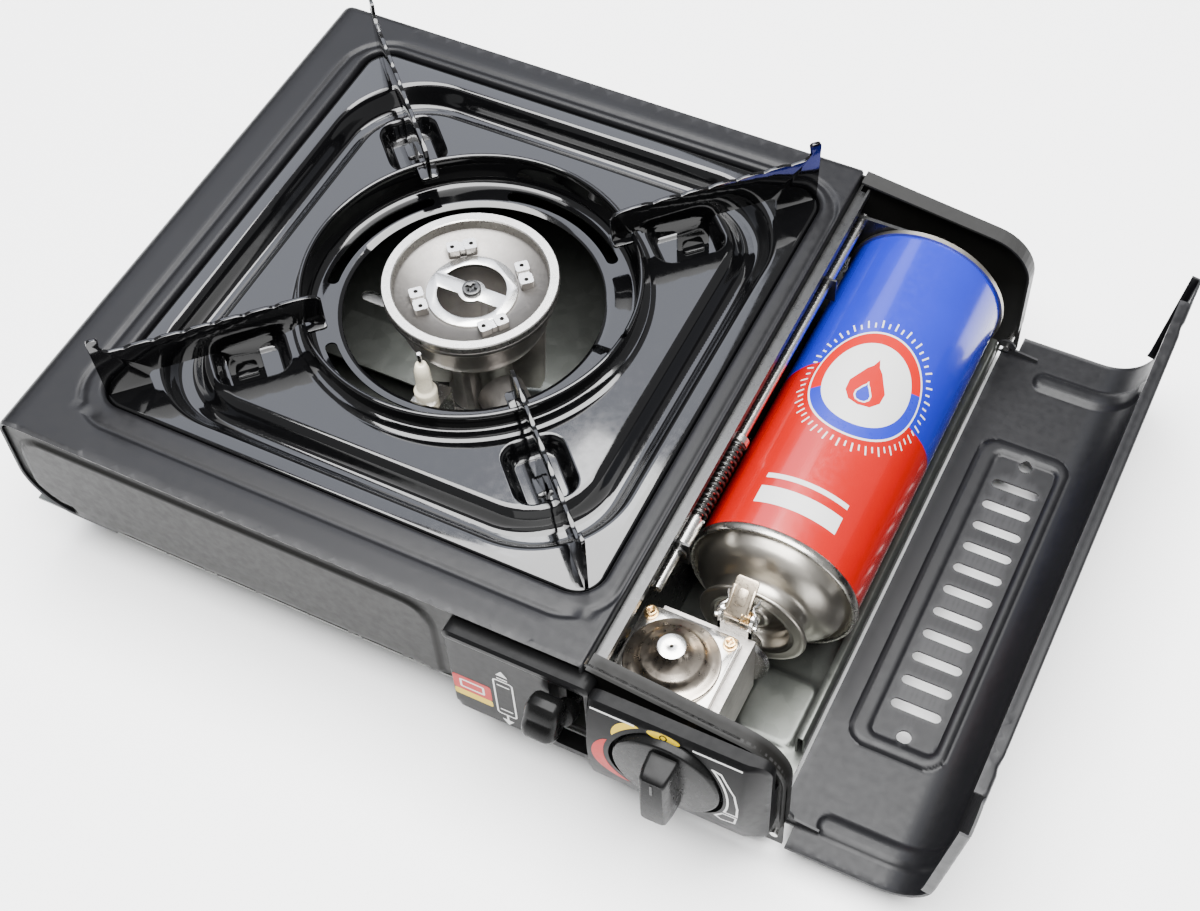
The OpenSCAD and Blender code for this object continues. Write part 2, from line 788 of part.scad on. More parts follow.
module electrode_ceramic() {
    color("ivory") on_base() translate([electrode[0], electrode[1], 0]) difference() {
        rotate_extrude() polygon([
            [0, 40], [3.2, 40], [3.2, 56], [4.6, 56], [4.6, 63], [3.4, 64], [3.2, 76], [1.8, 79],
            [0, 79]
        ]);
        rod_along_z(0, 0, 60, 80, 0.9);
    }
}

module electrode_pin() {
    color("gray") on_base() rod_along_z(electrode[0], electrode[1], 60, 85.5, 0.9);
}

module ignition_lead() {
    color("#303030") on_base() swept_tube(lead_points, lead_r, 8, [0.2, 0.35, 1]);
}

module piezo_unit() {
    color("#303030") on_base() {
        block([269.6, 8, foot_h + 2.5], [285, 40, 25]);
        rod_along_y(277, 2.6, 8, 17, 4);
    }
}

// ---- regulator ---------------------------------------------------------------

module at_regulator() {
    translate([reg_x, reg_y, 0]) children();
}

screw_places = [[-15.6, 15.4], [15.6, 15.4], [-15.6, -15.4], [15.6, -15.4]];

module regulator_body() {
    color("silver") on_base() difference() {
        union() {
            block([262, 9, 28], [298, 47, 60]);
            at_regulator() block([-18.5, -18, 56], [19, 18.5, reg_top]);
            rod_along_y(can_x, 4, 9.5, dial_z, 7);
            at_burner() rotate(jet_angle) translate([jet_start - 6, 0, jet_z])
                rotate([0, 90, 0]) cylinder(h = 10, r = 5);
        }
        at_regulator() rod_along_z(0, 0, 57.5, 70, 15);
        for (p = screw_places) at_regulator() rod_along_z(p[0], p[1], 57, 70, 1.5);
        rod_along_y(can_x, 2, 25, dial_z, 4 + fit_gap);
        rod_along_y(can_x, 41, 60, can_z, 4.5);
        at_burner() rotate(jet_angle) translate([jet_start - 10, 0, jet_z])
            rotate([0, 90, 0]) cylinder(h = 16, r = 1.5);
    }
}

module regulator_diaphragm() {
    color("#303030") on_base() at_regulator() rod_along_z(0, 0, 60.6, 62, 14.8);
}

module regulator_spring() {
    wire = 0.7;
    color("silver") on_base() at_regulator() translate([0, 0, 62 + wire])
        swept_tube(coil(3.4, 11, 5, 12), wire, 8, [0, 0, 1]);
}

module regulator_plate() {
    color("silver") on_base() at_regulator() difference() {
        block([-19, -19, reg_top], [19, 19, reg_top + 2]);
        rod_along_z(0, 0, 60, 70, 13);
        for (p = screw_places) rod_along_z(p[0], p[1], 60, 70, 1.5);
        for (a = [45, 135, 225, 315]) rotate(a) block([25.2, -4, 60], [30, 4, 70]);
    }
}

module regulator_cap() {
    z0 = reg_top + 2;
    z1 = z0 + 12;
    color("silver") on_base() at_regulator() rotate_extrude() polygon([
        [0.7, z1 - 1.2], [4.2, z1 - 1.2], [14.6, z0 + 1.2], [14.6, z0], [17.5, z0],
        [17.5, z0 + 1.4], [16, z0 + 2.2], [5, z1], [0.7, z1]
    ]);
}

module regulator_screws() {
    top = reg_top + 4.2;
    color("goldenrod") on_base() at_regulator() for (p = screw_places)
        translate([p[0], p[1], 0]) difference() {
            union() {
                rod_along_z(0, 0, reg_top + 2, top, 1.9);
                rod_along_z(0, 0, 57, reg_top + 2.1, 1.5);
            }
            cross_recess(top, 2.4);
        }
}

// Sleeve that the cartridge's stem enters, with the flange behind it.
module gas_inlet() {
    color("silver") on_base() facing_front(can_x, 47, can_z) difference() {
        rotate_extrude() polygon([
            [0, -6], [4.5, -6], [4.5, 0], [13, 0], [13, 2.5], [8, 4], [7, 9.4], [0, 9.4]
        ]);
        translate([0, 0, 4]) cylinder(h = 10, r = 2.4);
    }
}

module inlet_seal() {
    color("#303030") on_base() facing_front(can_x, 51, can_z) difference() {
        cylinder(h = 2, r = 2.4);
        translate([0, 0, -1]) cylinder(h = 4, r = 1.1);
    }
}

// ---- latch over the cartridge's neck -------------------------------------------

module latch_bracket() {
    x0 = latch_x - 6.5;
    x1 = latch_x + 6.5;
    color("silver") on_base() difference() {
        union() {
            block([x0, 47, 57], [x1, 48, 65]);
            for (x = [x0, x1 - 1]) {
                block([x, 47, 60], [x + 1, latch_y, latch_z + 2.4]);
                rod_along_x(x, x + 1, latch_y, latch_z, 2.6);
            }
        }
        rod_along_x(x0 - 1, x1 + 1, latch_y, latch_z, 1.2);
    }
}

module latch_pin() {
    color("silver") on_base() rod_along_x(latch_x - 7.5, latch_x + 7.5, latch_y, latch_z, 1.2);
}

module latch_spring() {
    color("goldenrod") on_base() translate([latch_x + 2.2, latch_y, latch_z]) rotate([0, 90, 0])
        swept_tube(coil(1.95, 2.6, 3, 14), 0.35, 6, [0, 0, 1]);
}

module latch_tab() {
    hub = 2.4;
    color("peru") on_base() difference() {
        union() {
            rod_along_x(latch_x - 4.8, latch_x + 1.2, latch_y, latch_z, hub);
            translate([latch_x - 4.8, latch_y, latch_z]) rotate([latch_lean, 0, 0])
                block([0, 0, hub - 1.2], [8.8, 11, hub]);
            block([latch_x - 3.5, latch_y + 0.9, 61], [latch_x + 0.5, latch_y + 2.1, latch_z]);
        }
        rod_along_x(latch_x - 8, latch_x + 8, latch_y, latch_z, 1.2 + fit_gap);
        translate([latch_x + 1.4, latch_y, latch_z]) rotate([latch_lean, 0, 0])
            block([0, -3, 0], [4, 4.4, 4]);
    }
}

// ---- lock lever and pusher ------------------------------------------------------

module about_pivot() {
    translate([0, pivot_y, pivot_z]) children();
}

module lever_pivot() {
    color("silver") on_base() {
        rod_along_x(244.5, bay_x0, pivot_y, pivot_z, 2);
        rod_along_x(243.5, 244.5, pivot_y, pivot_z, 3.2);
    }
}

// The lever's arm at rest points up and forward by half its turn.
lever_tilt = -lever_turn / 2;

module lock_lever() {
    x0 = slot_x - 1;
    color("silver") on_base() about_pivot() difference() {
        union() {
            rotate([lever_tilt, 0, 0]) block([x0, -lever_reach + 4, -3], [x0 + 2, 0, 3]);
            rod_along_x(x0, x0 + 2, 0, 0, 6);
            rotate([lever_tilt, 0, 0]) {
                block([x0, -3, 0], [x0 + 2, 3, crank_r]);
                rod_along_x(x0, x0 + 2, 0, crank_r, 3);
                rod_along_x(x0, x0 + 5.2, 0, crank_r, 1.4);
            }
        }
        rod_along_x(x0 - 1, x0 + 3, 0, 0, 2 + fit_gap);
    }
}

module lever_knob() {
    w = 13;
    color("#1c1c1c") on_base() about_pivot() rotate([lever_tilt, 0, 0]) difference() {
        union() {
            translate([slot_x - 5 - w / 2, -lever_reach, 0]) rotate([0, 90, 0]) linear_extrude(w)
                polygon([
                    [-9, -1], [-9, 3], [-5, 6], [5, 6], [9, 3], [9, -2.5], [5, -5.5], [-3, -5.5],
                    [-6, -2.5]
                ]);
            rod_along_y(slot_x, -lever_reach + 4, -lever_reach + 11, 0, 4.5);
        }
        block([slot_x - 1, -lever_reach + 4, -3], [slot_x + 1, 0, 3]);
    }
}

module pusher_rod() {
    link_x = slot_x + 2.4;
    crank_z = pivot_z + crank_r * cos(lever_turn / 2);
    crank_y = pivot_y + crank_r * sin(lever_turn / 2);
    color("silver") on_base() difference() {
        union() {
            rod_along_y(rod_x, 47, 247, rod_z, rod_r);
            rod_along_x(link_x, rod_x, 49, rod_z, 1.6);
            block([link_x, crank_y - 5, crank_z - 6], [link_x + 1.4, crank_y + 5, rod_z + 3]);
            block([link_x, crank_y - 5, rod_z - 3], [link_x + 1.4, 52, rod_z + 3]);
        }
        block([link_x - 1, crank_y - 1.6, crank_z - 3.5], [link_x + 3, crank_y + 1.6, crank_z + 4.5]);
    }
}

module rod_clip() {
    color("#303030") on_base() facing_front(rod_x, 63.9, rod_z) difference() {
        cylinder(h = 0.9, r = collar_r);
        translate([0, 0, -1]) cylinder(h = 4, r = rod_r);
        translate([-1, -6, -1]) cube([2, 5, 4]);
    }
}

module rod_sleeve() {
    color("silver") on_base() facing_front(rod_x, 66.5, rod_z) difference() {
        cylinder(h = spring_y0 - 66.5, r = 3.6);
        translate([0, 0, -1]) cylinder(h = 20, r = rod_r + fit_gap);
    }
}

module pusher_spring() {
    wire = 0.55;
    color("gray") on_base() facing_front(rod_x, spring_y0 + wire, rod_z)
        swept_tube(coil(3.3, spring_y1 - spring_y0 - 2 * wire, 13, 12), wire, 6, [0, 0, 1]);
}

module rod_collar() {
    color("silver") on_base() facing_front(rod_x, spring_y1, rod_z) difference() {
        cylinder(h = 3, r = collar_r);
        translate([0, 0, -1]) cylinder(h = 6, r = rod_r);
    }
}

module pusher_plate() {
    back = can_y0 + can_len;
    color("#303030") on_base() difference() {
        union() {
            translate([can_x, back + 2.1, can_z]) rotate([90, 0, 0]) linear_extrude(1.6) intersection() {
                circle(31);
                translate([-26, -26]) square([52, 52]);
            }
            block([rod_x - 3, back + 0.5, 58], [can_x - 8, back + 2.1, rod_z + 4]);
        }
        rod_along_y(rod_x, back - 1, back + 5, rod_z, rod_r);
    }
}

// ---- cartridge ---------------------------------------------------------------------

module can_piece() {
    on_base() facing_front(can_x, can_y0, can_z) rotate_extrude() children();
}

body_r = seam_r - 1.2;

module can_body() {
    color("royalblue") can_piece() polygon([
        [body_r - 1, 2], [body_r, 2], [body_r, can_len - 2], [body_r - 1, can_len - 2]
    ]);
}

// Shoulder and front seam, then the neck and the flange with its guide notch.
module can_dome() {
    r = body_r;
    color("silver") difference() {
        can_piece() polygon([
            [r, 2], [seam_r, 2], [seam_r, -1.2], [r + 0.4, -1.6], [r - 0.8, -1], [r - 1.4, 0.6],
            [29, -5], [24, -9], [18.2, -11.6], [17.4, -13], [17.4, -17.6], [20.6, -17.6],
            [21.6, -18.2], [21.6, -19.2], [20.6, -19.4], [16.4, -19.4], [16.4, -12.4],
            [17.4, -10.6], [23.4, -8], [28.2, -4.4], [31, 2], [r - 1, 2]
        ]);
        on_base() block([can_x - 3, can_y0 - 20, can_z + 18.5], [can_x + 3, can_y0 - 16, can_z + 24]);
    }
}

module can_cup() {
    color("silver") can_piece() polygon([
        [16.4, -19.4], [15.2, -19.4], [14.2, -18.2], [13.4, -11], [9, -10.4], [6.4, -11],
        [5.2, -16.6], [2.1, -16.6], [2.1, -15.2], [4, -15.2], [5.2, -9.6], [9, -9.2],
        [14.6, -9.9], [16.4, -10.6]
    ]);
}

module can_valve() {
    color("ivory") can_piece() polygon([
        [0, -20.5], [1.7, -20.5], [1.9, -20], [2.1, -17], [2.1, -15.2], [3.8, -15.2], [3.8, -5],
        [0, -5]
    ]);
}

module can_base() {
    r = body_r;
    z = can_len;
    color("silver") can_piece() polygon([
        [r, z - 2], [seam_r, z - 2], [seam_r, z], [r, z + 0.4], [r - 1.6, z - 0.6],
        [r - 2.6, z - 5], [20, z - 10], [0, z - 12], [0, z - 13], [20, z - 11.1],
        [r - 2.2, z - 6], [r - 1, z - 2]
    ]);
}

// ---- the whole object -------------------------------------------------------------

casing();
front_plate();
back_plate();
base_tray();
bay_divider();
bay_floor();
bay_rivets();
feet();
tray_screws();
control_panel();
hinge_pins();
lid();
drip_pan();
windshield_ring();
pan_support(1);  // pan_support_1
pan_support(2);  // pan_support_2
pan_support(3);  // pan_support_3
pan_support(4);  // pan_support_4
burner_bracket();
burner_body();
mixing_tube();
burner_head();
burner_bar();
burner_screw();
jet_nozzle();
electrode_bracket();
electrode_ceramic();
electrode_pin();
ignition_lead();
piezo_unit();
regulator_body();
regulator_diaphragm();
regulator_spring();
regulator_plate();
regulator_cap();
regulator_screws();
gas_inlet();
inlet_seal();
latch_bracket();
latch_pin();
latch_spring();
latch_tab();
knob();
knob_spindle();
lever_pivot();
lock_lever();
lever_knob();
pusher_rod();
rod_clip();
rod_collar();
rod_sleeve();
pusher_spring();
pusher_plate();
can_body();
can_dome();
can_base();
can_cup();
can_valve();
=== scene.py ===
"""Looks of a portable cassette stove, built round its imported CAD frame.

Sizes are in millimetres in the stove's own frame: x from the casing's left wall, y back from its
front face and z up from the table. pt() turns them into metres in the shared frame.
"""

import math

import bmesh
import bpy
import numpy as np
from mathutils import Matrix, Vector
from mathutils.geometry import delaunay_2d_cdt


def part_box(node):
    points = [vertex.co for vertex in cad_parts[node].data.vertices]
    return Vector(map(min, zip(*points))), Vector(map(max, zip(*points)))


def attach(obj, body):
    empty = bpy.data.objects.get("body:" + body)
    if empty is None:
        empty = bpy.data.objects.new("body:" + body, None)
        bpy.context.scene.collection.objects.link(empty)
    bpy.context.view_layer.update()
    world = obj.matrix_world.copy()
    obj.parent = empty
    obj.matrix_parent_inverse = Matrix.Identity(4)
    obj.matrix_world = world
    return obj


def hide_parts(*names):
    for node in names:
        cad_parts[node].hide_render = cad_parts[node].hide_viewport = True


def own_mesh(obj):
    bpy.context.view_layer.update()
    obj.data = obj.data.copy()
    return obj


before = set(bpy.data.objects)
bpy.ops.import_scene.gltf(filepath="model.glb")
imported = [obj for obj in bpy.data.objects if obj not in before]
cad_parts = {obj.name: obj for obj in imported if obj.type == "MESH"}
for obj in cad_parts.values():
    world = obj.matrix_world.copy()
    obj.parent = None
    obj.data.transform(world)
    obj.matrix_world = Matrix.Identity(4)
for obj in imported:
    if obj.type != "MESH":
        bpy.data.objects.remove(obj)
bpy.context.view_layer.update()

MM = 0.001
TAU = 2 * math.pi
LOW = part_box("casing")[0]  # the casing's corner at the left, the front and the bottom, in metres


def pt(p):
    return (LOW[0] + p[0] * MM, LOW[1] + p[1] * MM, p[2] * MM)


# ---- shapes: each returns (vertices, faces) in millimetres ---------------------


def arc(cx, cy, r, a0, a1, n):
    """Points of an arc, in degrees."""
    angles = np.radians(np.linspace(a0, a1, n + 1))
    return [(cx + r * math.cos(a), cy + r * math.sin(a)) for a in angles]


def circle(r, n=32, cx=0.0, cy=0.0):
    return arc(cx, cy, r, 0, 360, n)[:-1]


def rounded(hx, hy, r, cx=0.0, cy=0.0, n=8):
    """Outline of a rounded rectangle with half sizes hx and hy."""
    out = []
    for k, (sx, sy) in enumerate([(1, 1), (-1, 1), (-1, -1), (1, -1)]):
        out += arc(cx + sx * (hx - r), cy + sy * (hy - r), r, 90 * k, 90 * k + 90, n)
    return out


def dense(loop, step):
    """The closed loop with extra points, so that no edge is longer than step."""
    out = []
    for a, b in zip(loop, loop[1:] + loop[:1]):
        n = max(1, math.ceil(math.dist(a, b) / step))
        out += [(a[0] + (b[0] - a[0]) * i / n, a[1] + (b[1] - a[1]) * i / n) for i in range(n)]
    return out


def inside(points, loop):
    """Which points lie inside a closed loop."""
    x, y = points[:, 0], points[:, 1]
    hit = np.zeros(len(points), bool)
    for (x0, y0), (x1, y1) in zip(loop, loop[1:] + loop[:1]):
        if y0 == y1:
            continue
        hit ^= ((y0 > y) != (y1 > y)) & (x < (x1 - x0) * (y - y0) / (y1 - y0) + x0)
    return hit


def triangulate(outline, holes, grid):
    """Triangles between an outline and its holes, with the grid points used inside."""
    loops = [outline] + holes
    fixed = np.array([p for loop in loops for p in loop])
    if len(grid):
        grid = np.asarray(grid, float)
        keep = inside(grid, outline)
        for hole in holes:
            keep &= ~inside(grid, hole)
        grid = grid[keep]
        if len(grid):
            near = np.full(len(grid), 1e9)
            for i in range(0, len(fixed), 200):
                d = np.linalg.norm(grid[:, None, :] - fixed[None, i : i + 200, :], axis=2)
                near = np.minimum(near, d.min(axis=1))
            grid = grid[near > 0.55 * grid_gap(outline)]
    points = [Vector(p) for p in fixed] + [Vector(p) for p in grid]
    edges, start = [], 0
    for loop in loops:
        n = len(loop)
        edges += [(start + i, start + (i + 1) % n) for i in range(n)]
        start += n
    verts, _, tris, *_ = delaunay_2d_cdt(points, edges, [], 1, 1e-6)
    verts = np.array([tuple(v) for v in verts])
    tris = [tuple(t) for t in tris if len(t) == 3]
    centres = np.array([verts[list(t)].mean(axis=0) for t in tris])
    keep = inside(centres, outline)
    for hole in holes:
        keep &= ~inside(centres, hole)
    return verts, [t for t, k in zip(tris, keep) if k]


def grid_gap(outline):
    """Typical spacing of an outline's points."""
    d = [math.dist(a, b) for a, b in zip(outline, outline[1:])]
    return float(np.median(d))


def border(faces):
    """Directed edges that belong to one face only."""
    count = {}
    for f in faces:
        for a, b in zip(f, f[1:] + f[:1]):
            count[(a, b)] = 1
    return [e for e in count if (e[1], e[0]) not in count]


def thicken(verts, faces, thick):
    """A closed shell: the surface, its copy set back along the normals, and the rim."""
    verts = np.asarray(verts, float)
    normal = np.zeros_like(verts)
    for f in faces:
        a, b, c = verts[f[0]], verts[f[1]], verts[f[2]]
        face_normal = np.cross(b - a, c - a)
        for i in f:
            normal[i] += face_normal
    normal /= np.linalg.norm(normal, axis=1)[:, None] + 1e-12
    n = len(verts)
    back = verts - thick * normal
    rim = [(b, a, a + n, b + n) for a, b in border(faces)]
    flipped = [tuple(i + n for i in reversed(f)) for f in faces]
    return np.vstack([verts, back]), list(faces) + flipped + rim


def sheet(outline, holes, surface, thick, step=2.0, us=None, vs=None, grid=None):
    """Sheet metal: a flat blank, mapped to its pressed shape by surface(u, v)."""
    outline, holes = dense(outline, step), [dense(h, step * 0.6) for h in holes]
    xs, ys = zip(*outline)
    us = np.arange(min(xs), max(xs), step) if us is None else us
    vs = np.arange(min(ys), max(ys), step) if vs is None else vs
    if grid is None:
        grid = np.array([(u, v) for u in us for v in vs])
    flat, tris = triangulate(outline, holes, grid)
    return thicken(surface(flat[:, 0], flat[:, 1]), tris, thick)


def prism(outline, depth, holes=()):
    """A flat plate from z = 0 to z = depth."""
    flat, tris = triangulate(list(outline), [list(h) for h in holes], [])
    n = len(flat)
    low = np.column_stack([flat, np.zeros(n)])
    high = np.column_stack([flat, np.full(n, depth)])
    rim = [(a, b, b + n, a + n) for a, b in border(tris)]
    faces = [tuple(reversed(t)) for t in tris] + [tuple(i + n for i in t) for t in tris] + rim
    return np.vstack([low, high]), faces


def revolve(profile, n=96):
    """A closed profile of (r, z) points turned about the z axis."""
    angles = np.radians(np.arange(n) * 360.0 / n)
    verts = [(r * math.cos(a), r * math.sin(a), z) for a in angles for r, z in profile]
    m = len(profile)
    faces = []
    for i in range(n):
        j = (i + 1) % n
        faces += [(i * m + k, j * m + k, j * m + (k + 1) % m, i * m + (k + 1) % m) for k in range(m)]
    return np.array(verts), faces


def tube(path, r, n):
    """A round wire of radius r along a path, with n sides."""
    path = np.asarray(path, float)
    m = len(path)
    along = np.vstack([path[1:], path[-1:]]) - np.vstack([path[:1], path[:-1]])
    along /= np.linalg.norm(along, axis=1)[:, None] + 1e-12
    side = np.cross(along[0], (0.31, 0.22, 0.93))
    verts = []
    for i in range(m):
        side = side - along[i] * side.dot(along[i])
        side /= np.linalg.norm(side)
        up = np.cross(along[i], side)
        for k in range(n):
            a = TAU * k / n
            verts.append(path[i] + r * (math.cos(a) * side + math.sin(a) * up))
    return np.array(verts), stacked(m, n) + [tuple(range(n))[::-1], tuple((m - 1) * n + k for k in range(n))]


def stacked(m, n):
    """Quads between m loops of n points each."""
    return [(i * n + k, i * n + (k + 1) % n, (i + 1) * n + (k + 1) % n, (i + 1) * n + k)
            for i in range(m - 1) for k in range(n)]


def joined(*shapes):
    """Several shapes as one."""
    verts, faces, start = [], [], 0
    for v, f in shapes:
        verts.append(np.asarray(v, float))
        faces += [tuple(i + start for i in t) for t in f]
        start += len(v)
    return np.vstack(verts), faces


def moved(shape, offset=(0, 0, 0), rows=None):
    """The shape turned by a 3 x 3 matrix (its rows) and then shifted."""
    v = np.asarray(shape[0], float)
    if rows is not None:
        v = v @ np.array(rows, float).T
    return v + np.array(offset, float), shape[1]


def turn(axis, degrees):
    """Rotation matrix about x, y or z."""
    return np.array(Matrix.Rotation(math.radians(degrees), 3, axis))


FACE_FRONT = [[1, 0, 0], [0, 0, -1], [0, 1, 0]]  # drawn in x and y, looks along -y
ALONG_Y = [[1, 0, 0], [0, 0, 1], [0, -1, 0]]  # a revolved z axis becomes +y
ALONG_X = [[0, 0, 1], [1, 0, 0], [0, 1, 0]]  # drawn in y and z, runs along +x


def smooth_step(x, lo, hi):
    t = np.clip((x - lo) / (hi - lo), 0, 1)
    return t * t * (3 - 2 * t)


def sd_box(x, y, hx, hy, r):
    """Signed distance to a rounded rectangle, negative inside."""
    qx, qy = np.abs(x) - (hx - r), np.abs(y) - (hy - r)
    return np.hypot(np.maximum(qx, 0), np.maximum(qy, 0)) + np.minimum(np.maximum(qx, qy), 0) - r


def ridge(d, w):
    """A rounded ridge of half width w along d = 0."""
    return np.cos(np.clip(d / w, -1, 1) * math.pi / 2) ** 2


def follow(points, s):
    """Place and unit normal at path length s along a polyline in x and z."""
    p = np.array(points, float)
    run = np.concatenate([[0], np.cumsum(np.linalg.norm(np.diff(p, axis=0), axis=1))])
    x, z = np.interp(s, run, p[:, 0]), np.interp(s, run, p[:, 1])
    h = 0.3
    x1, z1 = np.interp(s + h, run, p[:, 0]), np.interp(s + h, run, p[:, 1])
    x0, z0 = np.interp(s - h, run, p[:, 0]), np.interp(s - h, run, p[:, 1])
    dx, dz = x1 - x0, z1 - z0
    length = np.hypot(dx, dz) + 1e-12
    return x, z, -dz / length, dx / length


def path_length(points):
    return sum(math.dist(a, b) for a, b in zip(points, points[1:]))


def ticks(*runs):
    """Grid lines: each run is a (start, stop, step) tuple or a list of values."""
    return np.concatenate([np.arange(*run) if isinstance(run, tuple) else run for run in runs])


# ---- from shapes to objects ----------------------------------------------------


def part(name, shape, mats, body, nodes=(), bevel=0.0, sharp=40, pick=None):
    """Makes the object, bevels its edges (mm), shades it and hands it to the frame.

    pick(centre, normal) chooses a face's material; edges sharper than sharp degrees stay crisp.
    """
    mats = mats if isinstance(mats, (list, tuple)) else [mats]
    mesh = bpy.data.meshes.new(name)
    mesh.from_pydata([pt(v) for v in shape[0]], [], shape[1])
    bm = bmesh.new()
    bm.from_mesh(mesh)
    bmesh.ops.remove_doubles(bm, verts=bm.verts, dist=1e-6)
    bmesh.ops.dissolve_degenerate(bm, edges=bm.edges, dist=1e-7)
    bmesh.ops.recalc_face_normals(bm, faces=bm.faces)
    if bevel:
        flat = [e for e in bm.edges if len(e.link_faces) == 2 and e.calc_face_angle(0) < 0.02]
        bmesh.ops.dissolve_edges(bm, edges=flat, use_verts=False, use_face_split=False)
    bm.to_mesh(mesh)
    bm.free()
    piece = bpy.data.objects.new(name, mesh)
    bpy.context.collection.objects.link(piece)
    if bevel:
        mod = piece.modifiers.new("bevel", "BEVEL")
        mod.width = bevel * MM
        mod.segments = 2
        mod.limit_method = "ANGLE"
        mod.angle_limit = math.radians(30)
        mod.use_clamp_overlap = True
        graph = bpy.context.evaluated_depsgraph_get()
        baked = bpy.data.meshes.new_from_object(piece.evaluated_get(graph))
        piece.modifiers.clear()
        piece.data = baked
        bpy.data.meshes.remove(mesh)
        baked.name = name
        mesh = baked
    for m in mats:
        mesh.materials.append(m)
    if pick is not None:
        for poly in mesh.polygons:
            c = poly.center
            centre = ((c[0] - LOW[0]) / MM, (c[1] - LOW[1]) / MM, c[2] / MM)
            poly.material_index = pick(centre, poly.normal)
    mesh.shade_smooth()
    mesh.set_sharp_from_angle(angle=math.radians(sharp))
    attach(piece, body)
    if nodes:
        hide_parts(*nodes)
    return piece


# ---- materials -----------------------------------------------------------------


class Nodes:
    """A short way to wire a material's nodes."""

    def __init__(self, name):
        self.material = bpy.data.materials.new(name)
        self.material.use_nodes = True
        self.tree = self.material.node_tree
        self.shader = self.tree.nodes["Principled BSDF"]
        self.place = self.add("TexCoord").outputs["Object"]

    def add(self, kind, **values):
        node = self.tree.nodes.new("ShaderNode" + kind)
        for key, value in values.items():
            setattr(node, key, value)
        return node

    def link(self, a, b):
        self.tree.links.new(a, b)

    def mapped(self, scale):
        node = self.add("Mapping")
        node.inputs["Scale"].default_value = scale
        self.link(self.place, node.inputs["Vector"])
        return node.outputs["Vector"]

    def noise(self, scale, detail=4.0, stretch=None):
        node = self.add("TexNoise")
        node.inputs["Scale"].default_value = scale
        node.inputs["Detail"].default_value = detail
        self.link(self.mapped(stretch) if stretch else self.place, node.inputs["Vector"])
        return node.outputs["Fac"]

    def spread(self, value, lo, hi, start=0.3, end=0.7):
        node = self.add("MapRange")
        for key, number in zip(("From Min", "From Max", "To Min", "To Max"), (start, end, lo, hi)):
            node.inputs[key].default_value = number
        self.link(value, node.inputs["Value"])
        return node.outputs["Result"]

    def blend(self, factor, a, b):
        """Mixes two colours or colour sockets."""
        node = self.add("Mix", data_type="RGBA")
        self.link(factor, node.inputs[0])
        for socket, value in ((node.inputs[6], a), (node.inputs[7], b)):
            if isinstance(value, (tuple, list)):
                socket.default_value = (*value, 1)
            else:
                self.link(value, socket)
        return node.outputs[2]

    def math(self, operation, a, b=0.0, c=0.0):
        node = self.add("Math", operation=operation)
        for socket, value in zip(node.inputs, (a, b, c)):
            if isinstance(value, (int, float)):
                socket.default_value = value
            else:
                self.link(value, socket)
        return node.outputs[0]

    def bumps(self, *layers):
        """Stacks (height, depth in mm) layers into the shader's normal."""
        last = None
        for height, depth in layers:
            node = self.add("Bump")
            node.inputs["Distance"].default_value = depth * MM
            node.inputs["Strength"].default_value = 1.0
            self.link(height, node.inputs["Height"])
            if last is not None:
                self.link(last, node.inputs["Normal"])
            last = node.outputs["Normal"]
        if last is not None:
            self.link(last, self.shader.inputs["Normal"])

    def set(self, **values):
        names = {
            "metal": "Metallic", "coat": "Coat Weight", "coat_rough": "Coat Roughness",
            "specular": "Specular IOR Level", "aniso": "Anisotropic",
        }
        for key, value in values.items():
            self.shader.inputs[names[key]].default_value = value


def scaled(color, k):
    return tuple(min(1.0, c * k) for c in color)


def finish_of(name, color, rough, tint=0.12, tint_scale=45, rough_spread=0.05, grain=0.0,
              grain_scale=1500, wave=0.0, wave_scale=30, stretch=None, edge_wear_and_highlight=0.0, edge_wear_and_highlight_color=None,
              **constants):
    """A surface with uneven colour and gloss, a fine grain, soft waves, and lighter edges that are partly wear
    and partly a painted highlight.
    """
    m = Nodes(name)
    patches = m.noise(tint_scale, 5, stretch)
    shade = m.blend(m.spread(patches, 0, 1), scaled(color, 1 - tint), scaled(color, 1 + tint))
    # convex edges get a lighter colour: partly paint worn off the edges, partly a painted highlight where light
    # catches them
    if edge_wear_and_highlight:
        edge = m.add("NewGeometry").outputs["Pointiness"]
        worn_and_highlit_edges = m.spread(edge, 0, edge_wear_and_highlight, 0.53, 0.6)
        shade = m.blend(worn_and_highlit_edges, shade, edge_wear_and_highlight_color)
    m.link(shade, m.shader.inputs["Base Color"])
    fine = m.noise(tint_scale * 7, 3, stretch)
    m.link(m.spread(fine, rough - rough_spread, rough + rough_spread), m.shader.inputs["Roughness"])
    layers = []
    if wave:
        layers.append((m.noise(wave_scale, 1), wave))
    if grain:
        layers.append((m.noise(grain_scale, 2, stretch), grain))
    m.bumps(*layers)
    m.set(**constants)
    return m.material


def spangled(name, color, rough):
    """Galvanized sheet: crystal patches of slightly different tone and gloss."""
    m = Nodes(name)
    cells = m.add("TexVoronoi")
    cells.inputs["Scale"].default_value = 210
    m.link(m.place, cells.inputs["Vector"])
    split = m.add("SeparateColor")
    m.link(cells.outputs["Color"], split.inputs[0])
    cloud = m.noise(28, 4)
    tone = m.math("MULTIPLY_ADD", cloud, 0.6, m.math("MULTIPLY", split.outputs[0], 0.4))
    shade = m.blend(m.spread(tone, 0, 1), scaled(color, 0.9), scaled(color, 1.07))
    m.link(shade, m.shader.inputs["Base Color"])
    m.link(m.spread(split.outputs[1], rough - 0.03, rough + 0.03, 0, 1), m.shader.inputs["Roughness"])
    m.bumps((m.noise(900, 3), 0.004))
    m.set(metal=0.8)
    return m.material


